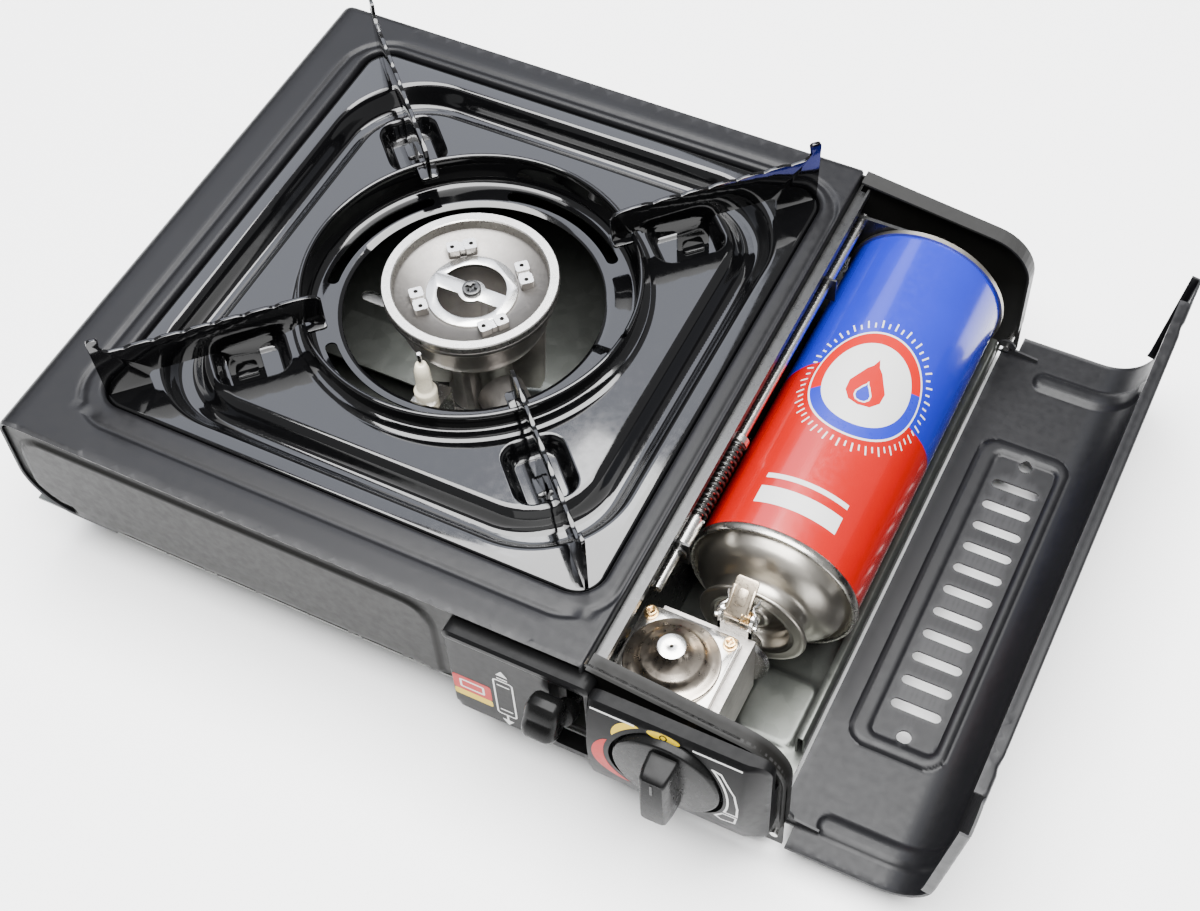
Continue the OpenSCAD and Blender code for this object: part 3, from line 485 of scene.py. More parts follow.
def printed_can(name, back, front):
    """Lacquered print: one colour behind a slanting curved edge and another in front of it."""
    m = Nodes(name)
    split = m.add("SeparateXYZ")
    m.link(m.place, split.inputs[0])
    x = m.math("SUBTRACT", split.outputs["X"], pt((290, 0, 0))[0])
    swing = m.math("SINE", m.math("MULTIPLY_ADD", x, 95.0, -0.35))
    border = m.math("MULTIPLY_ADD", swing, -0.004, pt((0, 162, 0))[1])
    border = m.math("MULTIPLY_ADD", x, -0.1, border)
    behind = m.math("GREATER_THAN", split.outputs["Y"], border)
    cloud = m.spread(m.noise(60, 3), 0, 1)
    red = m.blend(cloud, scaled(front, 0.94), front)
    blue = m.blend(cloud, scaled(back, 0.92), back)
    m.link(m.blend(behind, red, blue), m.shader.inputs["Base Color"])
    m.link(m.spread(m.noise(500, 2), 0.17, 0.24), m.shader.inputs["Roughness"])
    m.bumps((m.noise(35, 1), 0.05), (m.noise(1400, 2), 0.002))
    m.set(coat=0.4, coat_rough=0.06, metal=0.15)
    return m.material


# the lighter edge colour given to PAINT, PLATE_PAINT, PANEL and KNOB is partly wear and partly a painted
# highlight on their edges
PAINT = finish_of("casing_paint", (0.0052, 0.0052, 0.006), 0.36, tint=0.07, grain=0.006, grain_scale=2600,
                  wave=0.05, wave_scale=14, edge_wear_and_highlight=0.35, edge_wear_and_highlight_color=(0.05, 0.05, 0.052), specular=0.2)
PLATE_PAINT = finish_of("plate_paint", (0.0062, 0.006, 0.0055), 0.38, tint=0.07, grain=0.006, grain_scale=2600,
                        wave=0.04, wave_scale=14, edge_wear_and_highlight=0.35, edge_wear_and_highlight_color=(0.05, 0.05, 0.05), specular=0.1)
ENAMEL = finish_of("black_enamel", (0.0015, 0.0015, 0.0017), 0.07, tint=0.1, rough_spread=0.03, grain=0.0012,
                   grain_scale=900, wave=0.05, wave_scale=22, coat=0.3, coat_rough=0.03)
GALVANIZED = spangled("galvanized_sheet", (0.09, 0.095, 0.087), 0.32)
BLACK_STEEL = finish_of("black_coated_steel", (0.007, 0.007, 0.007), 0.3, grain=0.003, wave=0.03,
                        coat=0.3, coat_rough=0.2)
PANEL = finish_of("panel_plastic", (0.0025, 0.0025, 0.0027), 0.33, grain=0.008, grain_scale=1900, wave=0.03,
                  edge_wear_and_highlight=0.2, edge_wear_and_highlight_color=(0.015, 0.015, 0.015), specular=0.08)
KNOB = finish_of("knob_plastic", (0.0022, 0.0022, 0.0022), 0.28, grain=0.004, grain_scale=1500,
                 edge_wear_and_highlight=0.3, edge_wear_and_highlight_color=(0.015, 0.015, 0.015), specular=0.12)
RUBBER = finish_of("foot_rubber", (0.02, 0.02, 0.02), 0.75, grain=0.03, grain_scale=800)
CAST = finish_of("cast_alloy", (0.36, 0.34, 0.32), 0.46, tint=0.18, tint_scale=90, grain=0.05, grain_scale=650,
                 wave=0.12, wave_scale=120, metal=1.0)
TURNED = finish_of("turned_alloy", (0.6, 0.585, 0.55), 0.3, tint=0.05, tint_scale=120, grain=0.008,
                   grain_scale=900, metal=1.0)
GREY_CAST = finish_of("head_alloy", (0.2, 0.19, 0.18), 0.45, tint=0.1, tint_scale=160, grain=0.01,
                      grain_scale=900, metal=1.0)
STEEL = finish_of("bright_steel", (0.66, 0.65, 0.63), 0.24, tint=0.05, tint_scale=200, grain=0.002,
                  grain_scale=1200, metal=1.0)
DARK_STEEL = finish_of("dark_steel", (0.07, 0.07, 0.07), 0.35, tint=0.2, tint_scale=300, grain=0.01,
                       metal=1.0)
BRASS = finish_of("brass_plating", (0.72, 0.5, 0.24), 0.24, tint=0.15, tint_scale=300, grain=0.005,
                  metal=1.0)
COPPER = finish_of("tab_plating", (0.52, 0.44, 0.34), 0.3, tint=0.05, tint_scale=120, metal=1.0)
NICKEL = finish_of("nickel_plate", (0.42, 0.405, 0.38), 0.22, tint=0.06, tint_scale=90, grain=0.003, wave=0.02,
                   wave_scale=90, metal=1.0)
NICKEL_CAP = finish_of("nickel_cap", (0.5, 0.44, 0.37), 0.3, tint=0.06, tint_scale=60, grain=0.003,
                       grain_scale=1400, stretch=(1, 1, 0.2), metal=1.0, aniso=0.4)
CERAMIC = finish_of("cream_ceramic", (0.78, 0.72, 0.56), 0.28, tint=0.05, tint_scale=150, grain=0.006,
                    coat=0.4, coat_rough=0.15)
CABLE = finish_of("cable_cover", (0.03, 0.03, 0.03), 0.5, grain=0.01)
TIN = finish_of("can_tinplate", (0.42, 0.395, 0.35), 0.33, tint=0.03, tint_scale=50, rough_spread=0.02,
                metal=1.0)
SEAM = finish_of("can_seam", (0.5, 0.48, 0.44), 0.28, tint=0.06, metal=1.0)
ACETAL = finish_of("valve_plastic", (0.75, 0.75, 0.7), 0.4, grain=0.004)
PRINT = printed_can("can_print", (0.008, 0.016, 0.36), (0.37, 0.0008, 0.0004))
WHITE_INK = finish_of("white_ink", (0.5, 0.5, 0.49), 0.35, tint=0.03, grain=0.002)
RED_INK = finish_of("red_ink", (0.35, 0.002, 0.001), 0.35, tint=0.05, specular=0.15)
BLUE_INK = finish_of("blue_ink", (0.008, 0.016, 0.3), 0.3, tint=0.05, specular=0.3)
YELLOW_INK = finish_of("yellow_ink", (0.55, 0.38, 0.004), 0.35, tint=0.05, specular=0.15)

CAD_FINISH = {
    PLATE_PAINT: ["back_plate"],
    GALVANIZED: ["base_tray", "bay_rivets", "burner_bracket"],
    BLACK_STEEL: ["bay_divider", "pusher_plate"],
    RUBBER: ["feet", "regulator_diaphragm", "inlet_seal"],
    STEEL: ["tray_screws", "hinge_pins", "electrode_bracket", "electrode_pin", "regulator_spring",
            "gas_inlet", "latch_pin", "lever_pivot", "lock_lever", "pusher_rod", "rod_collar",
            "rod_sleeve"],
    DARK_STEEL: ["rod_clip"],
    PANEL: ["piezo_unit"],
    CAST: ["mixing_tube", "regulator_body"],
    BRASS: ["jet_nozzle", "knob_spindle"],
    CABLE: ["ignition_lead"],
    TIN: ["can_base"],
    ACETAL: ["can_valve"],
}
for finish, names in CAD_FINISH.items():
    for name in names:
        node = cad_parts[name]
        node.data.materials.clear()
        node.data.materials.append(finish)


# ---- casing, end plates and bay -------------------------------------------------

B_X, B_Y = 136.0, 133.5  # the burner's axis
TOP_RIGHT = 251.9  # where the flat top ends and turns down
BAY_X, BAY_Z = 254.3, 83  # highest line of the gas bay's ends, from which they fall to the right
FALL = 7.7
SLOPE = math.radians(FALL)
BEND = 20  # radius of the round corner of the gas bay's ends
CORNER = (310.0, BAY_Z - (310 - BAY_X) * math.tan(SLOPE) - BEND / math.cos(SLOPE))
HINGE = (327.0, 16.0)  # the lid's axis, in x and z
WELL = (108, 12)  # half size and corner radius of the opening round the drip pan


def outward(px, py, h, r):
    """Unit direction away from a rounded square's edge."""
    qx, qy = np.abs(px) - (h - r), np.abs(py) - (h - r)
    cx, cy = np.maximum(qx, 0), np.maximum(qy, 0)
    corner = (qx > 0) & (qy > 0)
    length = np.hypot(cx, cy) + 1e-9
    gx = np.where(corner, cx / length, qx >= qy) * np.sign(px)
    gy = np.where(corner, cy / length, qx < qy) * np.sign(py)
    return gx, gy


def casing_shape():
    """The wrapped sheet: right edge, top with its pressed groove, left wall, bend and lip."""
    path = [(252.9, 77)] + arc(TOP_RIGHT, 82, 1.0, 0, 90, 4) + arc(6, 77, 6, 90, 180, 10)
    path += arc(22, 52, 22, 180, 270, 18) + [(42, 30)]
    top = path_length(path[:6])
    total = path_length(path)
    # the well's edge: distance inside the opening, real inset and drop
    roll = np.array([[-1.8, -1.8, 0], [-1.2, -1.22, 0.1], [-0.6, -0.7, 0.4], [0, -0.25, 0.9],
                     [0.6, 0, 1.5], [3.2, 0, 4.3], [4, 0.35, 5.3], [5, 1.2, 5.9], [6.2, 2.3, 6],
                     [9.5, 5.6, 6]])

    def surface(u, v):
        x, z, nx, nz = follow(path, u)
        px, py = TOP_RIGHT - (u - top) - B_X, v - B_Y
        d = -sd_box(px, py, WELL[0], *WELL)
        near = (d > -2) & (np.abs(px) < 112)
        gx, gy = outward(px, py, *WELL)
        shift = np.where(near, np.interp(d, roll[:, 0], roll[:, 1]) - d, 0)
        depth = np.where(near, np.interp(d, roll[:, 0], roll[:, 2]), 0)
        depth += 0.8 * ridge(np.abs(sd_box(px, py + 3, 115.5, 115.5, 21)), 2.3)
        depth += 0.6 * (1 - smooth_step(v, 0, 1.6) * smooth_step(259 - v, 0, 1.6))
        return np.column_stack([x - gx * shift + nx * depth, v - gy * shift, z + nz * depth])

    hole = [(top + TOP_RIGHT - B_X - hx, B_Y + hy) for hx, hy in rounded(98.5, 98.5, 2.6)]
    edge, groove = np.arange(97.8, 110.6, 0.9), np.arange(-2.25, 2.3, 0.75)
    lines = ticks(-edge, edge, (-96, 97, 8.0))
    across = ticks(lines, groove + 115.5, groove - 115.5, [-112, 111.8, -119.5, -123, -126.5])
    us = ticks((0.7, top + 2, 0.9), top + TOP_RIGHT - B_X - across, (top + 246, total, 2.0))
    vs = ticks([0.5, 1.0, 1.5, 2.0, 3.0, 5.5, 9.5], B_Y + lines, B_Y - 118.5 + groove,
               B_Y + 112.5 + groove, [22, 250.5, 254, 256.2, 257.1, 257.8, 258.4])
    return sheet([(0, 0), (total, 0), (total, 259), (0, 259)], [hole], surface, -1.0, 2.2, us, vs)


part("casing_wrap", casing_shape(), PAINT, "stove", ["casing"], sharp=50)


def end_outline():
    """Outline of an end plate, without its rim."""
    out = [(1.5, 77), (1.5, 52)] + arc(22, 52, 20.5, 180, 270, 10)
    out += [(42, 31.5), (43, 30), (256.2, 30), (256.2, 8.3), (330, 8.3)]
    return out + arc(*CORNER, BEND, 0, 82.3, 12) + [(BAY_X, BAY_Z), (BAY_X, 81.5), (6, 81.5)]


def front_plate_shape():
    """The front plate: a raised panel on the left and the rim of the bay's end."""
    def surface(x, z):
        raised = np.maximum(sd_box(x - 98.5, z - 40, 92.5, 36, 13), 5 - x)
        left = np.hypot(x - 22, z - 52) - 17
        raised = np.where((x < 22) & (z < 52), np.maximum(raised, left), raised)
        y = 1.5 - 1.4 * smooth_step(-raised, -1.0, 1.0) * smooth_step(z, 30, 30.5)
        return np.column_stack([x, y, z])

    holes = [circle(3.6, 20, 290, 53), [(244.5, 32), (252.5, 32), (252.5, 64), (244.5, 64)]]
    xs = ticks((2, 22, 1.1), (24, 182, 6.0), (183, 196, 0.8), (200, 330, 8.0))
    zs = ticks((31, 52, 2.0), (53, 72, 3.0), (72.5, 80, 0.8))
    return joined(sheet(end_outline(), holes, surface, 1.0, 2.2, xs, zs), rim_shape())


def rim_shape():
    """The turned rim round the gas bay, drawn at the front."""
    line = [(330, 24)] + arc(*CORNER, BEND, 0, 82.3, 16) + [(BAY_X, BAY_Z)]

    def surface(u, v):
        x, z, nx, nz = follow(line, u)
        tuck = 0.7 * (1 - smooth_step(v, 0, 1.1))
        return np.column_stack([x + nx * tuck, v, z + nz * tuck])

    length = path_length(line)
    return sheet([(0, 0), (length, 0), (length, 7), (0, 7)], [], surface, -1.0, 1.6,
                 vs=[0.4, 0.8, 1.2, 2, 3.5, 5])


part("front_end", front_plate_shape(), PLATE_PAINT, "stove", ["front_plate"], sharp=50)


# ---- lid, drawn closed and swung open by a quarter turn ---------------------------

VENT = (354.7, 127)  # middle of the vent slots, in x and y with the lid open
SLOTS = [VENT[1] + 11.15 * (i - 5) for i in range(11)]
LID_FOOT = 14  # height of the closed lid's lower edge
LID_FRONT, LID_BACK = -1.5, 260.5
LID_LEFT = 260.5  # the closed lid's left edge


def turned_end(v, y0, y1, r=1.1):
    """Place along y, and drop, of sheet that turns down past both ends y0 and y1."""
    over = np.maximum(np.maximum(y0 + r - v, v - y1 + r), 0)
    angle = np.minimum(over / r, math.pi / 2)
    y = np.where(v < 130, y0 + r - r * np.sin(angle), y1 - r + r * np.sin(angle))
    y = np.where(over > 0, y, v)
    return y, r * (1 - np.cos(angle)) + np.maximum(over - r * math.pi / 2, 0)


def lid_shape():
    """One sheet: the vented panel, the round corner, the finger panel and the turned edges."""
    outer = 1.6
    edge_z = BAY_Z - (LID_LEFT - BAY_X) * math.tan(SLOPE) + outer / math.cos(SLOPE)
    path = [(331.6, LID_FOOT)] + arc(*CORNER, BEND + outer, 0, 90 - FALL, 26)
    run = path_length(path)
    path += [(261.9, edge_z - 0.2)] + arc(261.9, edge_z - 1.6, 1.4, 83, 180, 6) + [(LID_LEFT, edge_z - 5)]
    total = path_length(path)

    def surface(u, v):
        y, drop = turned_end(v, LID_FRONT, LID_BACK)
        x, z, nx, nz = follow(path, u)
        open_x = HINGE[0] + (LID_FOOT + u - HINGE[1])
        depth = np.zeros(len(u))
        vent = smooth_step(-sd_box(open_x - 353.2, v - 126.5, 18.3, 76.5, 7), -0.9, 0.9)
        field = smooth_step(-sd_box(open_x - 354.8, v - 126.2, 13.8, 71.8, 4.5), -0.9, 0.9)
        depth -= 1.5 * vent - 1.2 * field
        for y_pill, x0 in ((240, 343.6), (13.3, 340)):
            far = np.maximum(x0 + 3.5 - open_x, 0)
            depth -= 1.3 * smooth_step(3.6 - np.hypot(far, v - y_pill), -1.0, 1.0) * (u < run)
        depth -= 0.6 * ridge(np.abs(sd_box(u - 103, v - 129.5, 24, 105, 8)), 2.6) * (u > 70)
        inward = drop - depth
        return np.column_stack([x + nx * inward, y, z + nz * inward])

    slots = [[(x - HINGE[0] + HINGE[1] - LID_FOOT, y) for x, y in rounded(10, 2.2, 2.15, VENT[0], s, 5)]
             for s in SLOTS]
    round_holes = [circle(2.9, 20, VENT[0] - 325, VENT[1] + s * 68.3) for s in (-1, 1)]
    finger = [(run + (309 - x) / math.cos(SLOPE), y) for x, y in rounded(5.5, 15, 5.4, 282, 62, 8)]
    flange = 3.6  # how far the turned ends reach past the lid's edges in the blank
    front, back = LID_FRONT - flange, LID_BACK + flange
    top0, top1 = run - 4, total - 4.6
    outline = [(6.8, 8.4), (6.8, -1.2), (top0, -1.2), (top0, front), (top1 - 2, front),
               (top1 - 2, -0.2), (top1 - 0.2, 12), (top1, 14), (total, 14), (total, 245), (top1, 245),
               (top1 - 0.2, 247), (top1 - 2, 259.2), (top1 - 2, back), (top0, back),
               (top0, 260.2), (6.8, 260.2), (6.8, 250.6), (0, 250.6), (0, 8.4)]
    us = ticks((0.8, 10, 1.5), (7, 48, 0.9), (49, run, 1.6), (run + 1, total - 6, 3.0),
               (total - 6, total, 0.9))
    vs = ticks((-4.8, 1.5, 0.9), (2.5, 24, 1.2), [26, 31, 37, 43], (47.5, 58, 0.9), (61, 196, 3.2),
               (196, 206, 0.9), [210, 216, 222, 228], (233, 258, 1.3), (258, 264.5, 0.9))
    shape = sheet(outline, slots + round_holes + [finger], surface, -1.0, 2.4, us, vs)
    ears = []
    for y in (9, 249):
        ear = circle(4, 24, *HINGE)[6:19]
        ear = ear[::-1] + [(330.9, 12.4), (330.9, 30), (328.8, 30), (327.5, 20)]
        ears.append(moved(prism(ear[::-1], 1.0, [circle(1.56, 16, *HINGE)]), (0, y + 1.0, 0), FACE_FRONT))
    return swung(joined(shape, *ears))


def swung(shape):
    """A closed lid shape, turned open about its hinge."""
    v = shape[0]
    x = HINGE[0] + (v[:, 2] - HINGE[1])
    z = HINGE[1] + (HINGE[0] - v[:, 0])
    return np.column_stack([x, v[:, 1], z]), shape[1]


part("lid_sheet", lid_shape(), PAINT, "lid", ["lid"], sharp=48)


# ---- drip pan, windshield ring and pan supports -----------------------------------

SUPPORT_ANGLES = (45, 135, 225, 315)
# half size and corner radius of the pan's bend line, of its trough and of its raised middle
RIM, TROUGH, MIDDLE = (107.4, 11), (101, 40), (84, 28)
POCKET = (14.5, 12, 7)  # half sizes and corner radius of a pocket under a support
POCKET_R = 90.5  # its distance from the burner's axis


def in_square(u, v, size, r):
    """Depth inside a rounded square."""
    return -sd_box(u, v, size, size, r)


def pocket_gap(u, v, angle):
    """Signed distance to the pocket at an angle."""
    c, s = math.cos(math.radians(angle)), math.sin(math.radians(angle))
    return sd_box(u * c + v * s - POCKET_R, v * c - u * s, *POCKET)


def pan_grid():
    """Blank points of the pan: contours along its bends, and a plain grid between them."""
    rings = [rounded(size + e, size + e, r + e, n=n) for (size, r), n, offsets in (
        (RIM, 10, (1.4, 0.4, -0.4, -1.1, -1.7, -4)),
        (TROUGH, 26, (1.0, *np.arange(0.3, -8, -1.0), -8.4)),
        (MIDDLE, 20, (8.2, *np.arange(7.6, -0.9, -1.0), -1.2))) for e in offsets]
    rings += [circle(r, 150) for r in (68.7, 69.6, 70.6, 71.6, 72.8, 73.5)]
    points = np.array([p for ring in rings for p in dense(ring, 1.6)])
    plain = np.array([(x, y) for x in np.arange(-105, 106, 3.5) for y in np.arange(-105, 106, 3.5)])
    pockets, taken, free = [], np.zeros(len(points), bool), np.ones(len(plain), bool)
    for a in SUPPORT_ANGLES:
        c, s = math.cos(math.radians(a)), math.sin(math.radians(a))
        for e in ticks([1.3], (0.7, -3.7, -0.7), [-4.2]):
            pocket = dense(rounded(*(size + e for size in POCKET), POCKET_R, 0, 6), 1.5)
            pockets += [(x * c - y * s, x * s + y * c) for x, y in pocket]
        near = pocket_gap(*points.T, a)
        taken |= (near < 1.8) & (near > -4.8) & (np.hypot(*points.T) > 74.5)
        near = pocket_gap(*plain.T, a)
        free &= (near > 2.4) | (near < -5.6)
    for square, outside, within in ((RIM, 2.4, -2.8), (TROUGH, 1.2, -8.6), (MIDDLE, 8.4, -1.6)):
        d = -in_square(*plain.T, *square)
        free &= (d > outside) | (d < within)
    free &= np.hypot(*plain.T) > 75.5
    return np.vstack([points[~taken], pockets, plain[free]])


def drip_pan_shape():
    """Pressed pan: flat rim with a turned skirt, trough, raised middle and four pockets."""
    bend, skirt = 1.5, 2.7
    reach = bend * (math.pi / 2 - 1) + skirt

    def surface(u, v):
        d = in_square(u, v, *RIM)
        angle = np.clip((bend - d) / bend, 0, math.pi / 2)
        inset = np.where(d < bend, bend * (1 - np.sin(angle)), d)
        drop = bend * (1 - np.cos(angle)) + np.maximum(bend * (1 - math.pi / 2) - d, 0)
        gx, gy = outward(u, v, *RIM)
        shift = np.where(d < bend, inset - d, 0)
        wall = smooth_step(in_square(u, v, *TROUGH), 0, 7.4)
        middle = smooth_step(in_square(u, v, *MIDDLE), -7.4, 0.4)
        z = 81.5 - 8.5 * wall * (1 - middle) - 1.0 * middle - drop
        for a in SUPPORT_ANGLES:
            z = z - 7.5 * smooth_step(-pocket_gap(u, v, a), -0.6, 3.4)
        z = z + 0.7 * ridge(np.hypot(u, v) - 70.6, 2.2)
        return np.column_stack([u - gx * shift, v - gy * shift, z])

    half = RIM[0] + reach
    outline = rounded(half, half, RIM[1] + reach, n=10)
    return sheet(outline, [circle(67.8, 120)], surface, 1.0, 2.0, grid=pan_grid())


def ring_shape():
    """Windshield ring: slotted ledge, cone, wall and rolled rim, unrolled around the burner."""
    path = [(53.0, 74.6)] + arc(54.2, 74.6, 0.9, 180, 90, 4) + [(63.2, 75.5)]
    path += arc(63.2, 79.1, 3.6, -90, -20, 5) + [(66.9, 82), (67.0, 88.4)]
    path += arc(67.9, 89.6, 1.15, 200, -100, 12)
    radius = 60  # at which the sheet is unrolled
    total, around = path_length(path), TAU * radius

    def surface(u, v):
        r, z, *_ = follow(path, v)
        a = u / radius
        return np.column_stack([r * np.cos(a), r * np.sin(a), z])

    half_slot, slot_v = math.radians(60) * radius / 2, path_length(path[:6]) + 5.3
    holes = [rounded(half_slot, 2.5, 2.4, math.radians(a) * radius, slot_v, 5) for a in (75, 165, 255)]
    verts, faces = sheet([(0, 0), (around, 0), (around, total), (0, total)], holes, surface, -0.9, 2.2,
                         vs=ticks((1, 10, 1.6), (11, total, 0.9)))
    seam = (np.abs(verts[:, 1]) < 1e-6) & (verts[:, 0] > 0)
    faces = [f for f in faces if not all(seam[i] for i in f)]
    flange = revolve([(67.6, 80.9), (71.3, 80.9), (71.6, 81.2), (71.3, 81.6), (69.0, 81.7), (68.1, 82.2),
                      (67.6, 83)], 120)
    return joined((verts, faces), flange)


def support_outline():
    """Side view of a pan support: distance from the burner and height."""
    out = [(59, 88.6), (64.6, 88.6), (64.6, 89.9)] + arc(66.4, 89.9, 1.8, 180, 90, 3)
    out += arc(69.6, 89.9, 1.8, 90, 0, 3) + [(74, 89.4)] + arc(83, 83, 3.6, 90, 0, 4)
    out += [(86.6, 74)] + arc(87.6, 74, 1.0, 180, 270, 2) + arc(99.3, 74, 1.0, 270, 360, 2)
    out += arc(105, 84, 4.7, 180, 100, 5) + [(126.5, 88.6)] + arc(126.5, 85.8, 3, 90, 0, 4)
    out += [(129.5, 81.6), (147, 81.6), (147.7, 112)] + arc(146.3, 112, 1.4, 0, 90, 3)
    out += arc(144.2, 112.2, 1.2, 90, 180, 3) + arc(139.4, 109.6, 4.4, -20, -80, 5)
    for i in range(6):
        x = 136 - i * 11.67
        out += arc(x - 0.8, 106.9, 2.1, -60, -120, 4) + [(x - 4.0, 105.6), (x - 9.5, 105.5)]
    return out + [(63.4, 105.1), (60.4, 103.9), (58.8, 101.8)]


def support_shape(angle):
    """A blade with a lug folded over the ring, turned to its place around the burner."""
    blade = moved(prism(support_outline(), 1.5), (0, 0.75, 0), FACE_FRONT)
    lug = moved(prism(rounded(4.4, 3.9, 1.6, 63.2, 0, 4), 1.3), (0, 0, 88.5))
    foot = moved(prism(rounded(4.6, 3.4, 1.4, 93.4, 0, 4), 1.0), (0, 0, 73.1))
    return moved(joined(blade, lug, foot), (B_X, B_Y, 0), turn("Z", angle))


part("drip_pan_pressing", moved(drip_pan_shape(), (B_X, B_Y, 0)), ENAMEL, "pan", ["drip_pan"],
     sharp=60)
part("windshield_roll", moved(ring_shape(), (B_X, B_Y, 0)), ENAMEL, "pan", ["windshield_ring"],
     sharp=50)
for i, angle in enumerate(SUPPORT_ANGLES, 1):
    part(f"support_blade_{i}", support_shape(angle), ENAMEL, "pan", [f"pan_support_{i}"],
         bevel=0.45)


# ---- burner ------------------------------------------------------------------------

def cross(size, width):
    """Outline of a cross recess."""
    a, b = size / 2, width / 2
    return [(a, -b), (a, b), (b, b), (b, a), (-b, a), (-b, b), (-a, b), (-a, -b), (-b, -b), (-b, -a),
            (b, -a), (b, -b)]


def screw_head(r, height, slot, width):
    """Round head with a cross recess, standing on z = 0."""
    low = height * 0.45
    base = prism(circle(r, 28), low)
    top = prism(circle(r, 28), height - low, [cross(slot, width)])
    return joined(base, moved(top, (0, 0, low)))


def head_shape():
    """Dish with a turned rim, four lugs with gas holes, and the collar below."""
    dish = revolve([(14.6, 80.6), (28, 80.6), (31, 82.3), (33, 82.5), (35.2, 84.6), (35.2, 86.1), (34.9, 86.4),
                    (34.9, 86.9), (35.5, 87.2), (35.5, 89.7), (35.1, 90.2), (31.8, 90.2), (31.3, 89.8),
                    (31.1, 85.3), (30.4, 84.6), (19.6, 82.2), (18.9, 82), (14.6, 82)], 128)
    collar = revolve([(26.2, 70.8), (27.4, 70.8), (27.4, 80.7), (26.2, 80.7)], 96)
    lugs = []
    for a in (42, 129, 224, 322):
        ends = [moved(prism(rounded(2.75, 2.55, 0.9, 0, s * 3.45, 3), 4.6, [circle(0.95, 12, 0, s * 3.9)]),
                      (21.7, 0, 82)) for s in (-1, 1)]
        middle = moved(prism(rounded(2.2, 1.6, 0.3, 0, 0, 2), 3.9), (21.7, 0, 82))
        floor_disc = moved(prism(rounded(2.2, 5.2, 0.5, 0, 0, 2), 1.2), (21.7, 0, 82))
        lugs += [moved(s, rows=turn("Z", a)) for s in (*ends, middle, floor_disc)]
    return joined(dish, collar, *lugs)


def bar_shape():
    """Washer ring with a cross bar, cut by two openings."""
    a, b = math.degrees(math.asin(3.4 / 14)), math.degrees(math.asin(3.4 / 5.6))
    gap = arc(0, 0, 14, a, 180 - a, 24) + arc(0, 0, 5.6, 180 - b, b, 10)
    return prism(circle(18.4, 96), 0.9, [gap, [(-x, -y) for x, y in gap]])


def body_shape():
    """Cast burner body: a waisted cone with ribs under the collar."""
    cone = revolve([(12.2, 21), (15, 21), (15.4, 23), (13.2, 27), (13, 42), (14.6, 49), (18, 55), (24, 62),
                    (28.4, 66.2), (30.3, 69.6), (30.6, 72), (30.6, 79), (32.6, 81), (33, 82), (27.4, 82),
                    (27.4, 71), (12.2, 45)], 96)
    ribs = []
    for a in (20, 92, 110, 182, 200, 290):
        rib = [(12.5, 24), (24, 24), (26, 30), (28.5, 66), (20, 58), (12.5, 48)]
        ribs.append(moved(moved(prism(rib, 3.4), (0, 1.7, 0), FACE_FRONT), rows=turn("Z", a)))
    return joined(cone, *ribs)


def tone_of_head(c, n):
    """Turned rim, lug tops and grey dish of the burner head."""
    r = math.hypot(c[0] - B_X, c[1] - B_Y)
    if r > 31.05 and c[2] > 86.95:
        return 0
    return 2 if n[2] > 0.9 and c[2] > 85.5 and r < 27 else 1


at_burner = (B_X, B_Y, 0)
part("burner_dish", moved(head_shape(), at_burner), [TURNED, GREY_CAST, STEEL], "stove",
     ["burner_head"], pick=tone_of_head, sharp=35)
part("burner_casting", moved(body_shape(), at_burner), CAST, "stove", ["burner_body"],
     bevel=0.3)
part("burner_washer", moved(bar_shape(), (B_X, B_Y, 82.05)), STEEL, "stove", ["burner_bar"],
     bevel=0.15)
part("burner_cross_screw", moved(screw_head(3.8, 2.1, 4.6, 1.1), (B_X, B_Y, 82.95)), DARK_STEEL, "stove",
     ["burner_screw"], bevel=0.3)
part("electrode_insulator", moved(revolve(
    [(0.95, 62), (0.95, 79.2), (1.7, 79.3), (2.2, 78.9), (3.1, 75.6), (3.3, 73), (3.3, 64.6), (3.6, 63.8),
     (4.5, 63.3), (4.7, 62.7), (4.7, 57), (4.4, 56.4), (3.3, 55.8), (3.2, 40.3), (2.9, 40), (0.95, 40)], 40),
    (134, 95, 0)), CERAMIC, "stove", ["electrode_ceramic"], sharp=50)


# ---- regulator and latch --------------------------------------------------------------

REG = (275.5, 24.5)  # the regulator's axis
SCREWS = [(sx * 15.6, sy * 15.4) for sy in (1, -1) for sx in (-1, 1)]
LATCH = (289.5, 50.5, 68)  # middle of the latch's pin

part("regulator_flange", moved(prism(rounded(19, 19, 3.2, n=6), 2.0, [circle(13, 60)]), (*REG, 62)), NICKEL,
     "stove", ["regulator_plate"], bevel=0.4)
part("regulator_bell", moved(revolve(
    [(0.65, 74.2), (0.65, 75.9), (0.85, 76.0), (4.7, 76.05), (5.2, 75.8), (5.5, 75.2), (6.3, 73.8), (7.6, 72.2),
     (9.2, 70.9), (10.9, 70.0), (11.6, 69.5), (12.1, 68.7), (13.0, 67.6), (14.6, 66.7), (16.1, 66.2),
     (16.6, 65.9), (17.3, 65.7), (17.6, 65.3), (17.6, 64.3), (17.2, 64), (14.4, 64)], 128), (*REG, 0)),
     [NICKEL_CAP, STEEL], "stove", ["regulator_cap"], sharp=30,
     pick=lambda c, n: int(c[2] > 75.7 and n[2] > 0.8))


def regulator_screw(x, y):
    washer = revolve([(1.2, 0), (2.7, 0), (2.7, 0.5), (1.2, 0.5)], 28)
    head = moved(screw_head(2.1, 2.0, 2.9, 0.7), (0, 0, 0.4))
    return moved(joined(washer, head), (REG[0] + x, REG[1] + y, 64))


part("regulator_cross_screws", joined(*[regulator_screw(*p) for p in SCREWS]), BRASS, "stove",
     ["regulator_screws"], bevel=0.15)


def coil(r, length, turns, steps=14):
    """Points of a helix along z."""
    n = turns * steps
    return [(r * math.cos(TAU * i / steps), r * math.sin(TAU * i / steps), length * i / n)
            for i in range(n + 1)]


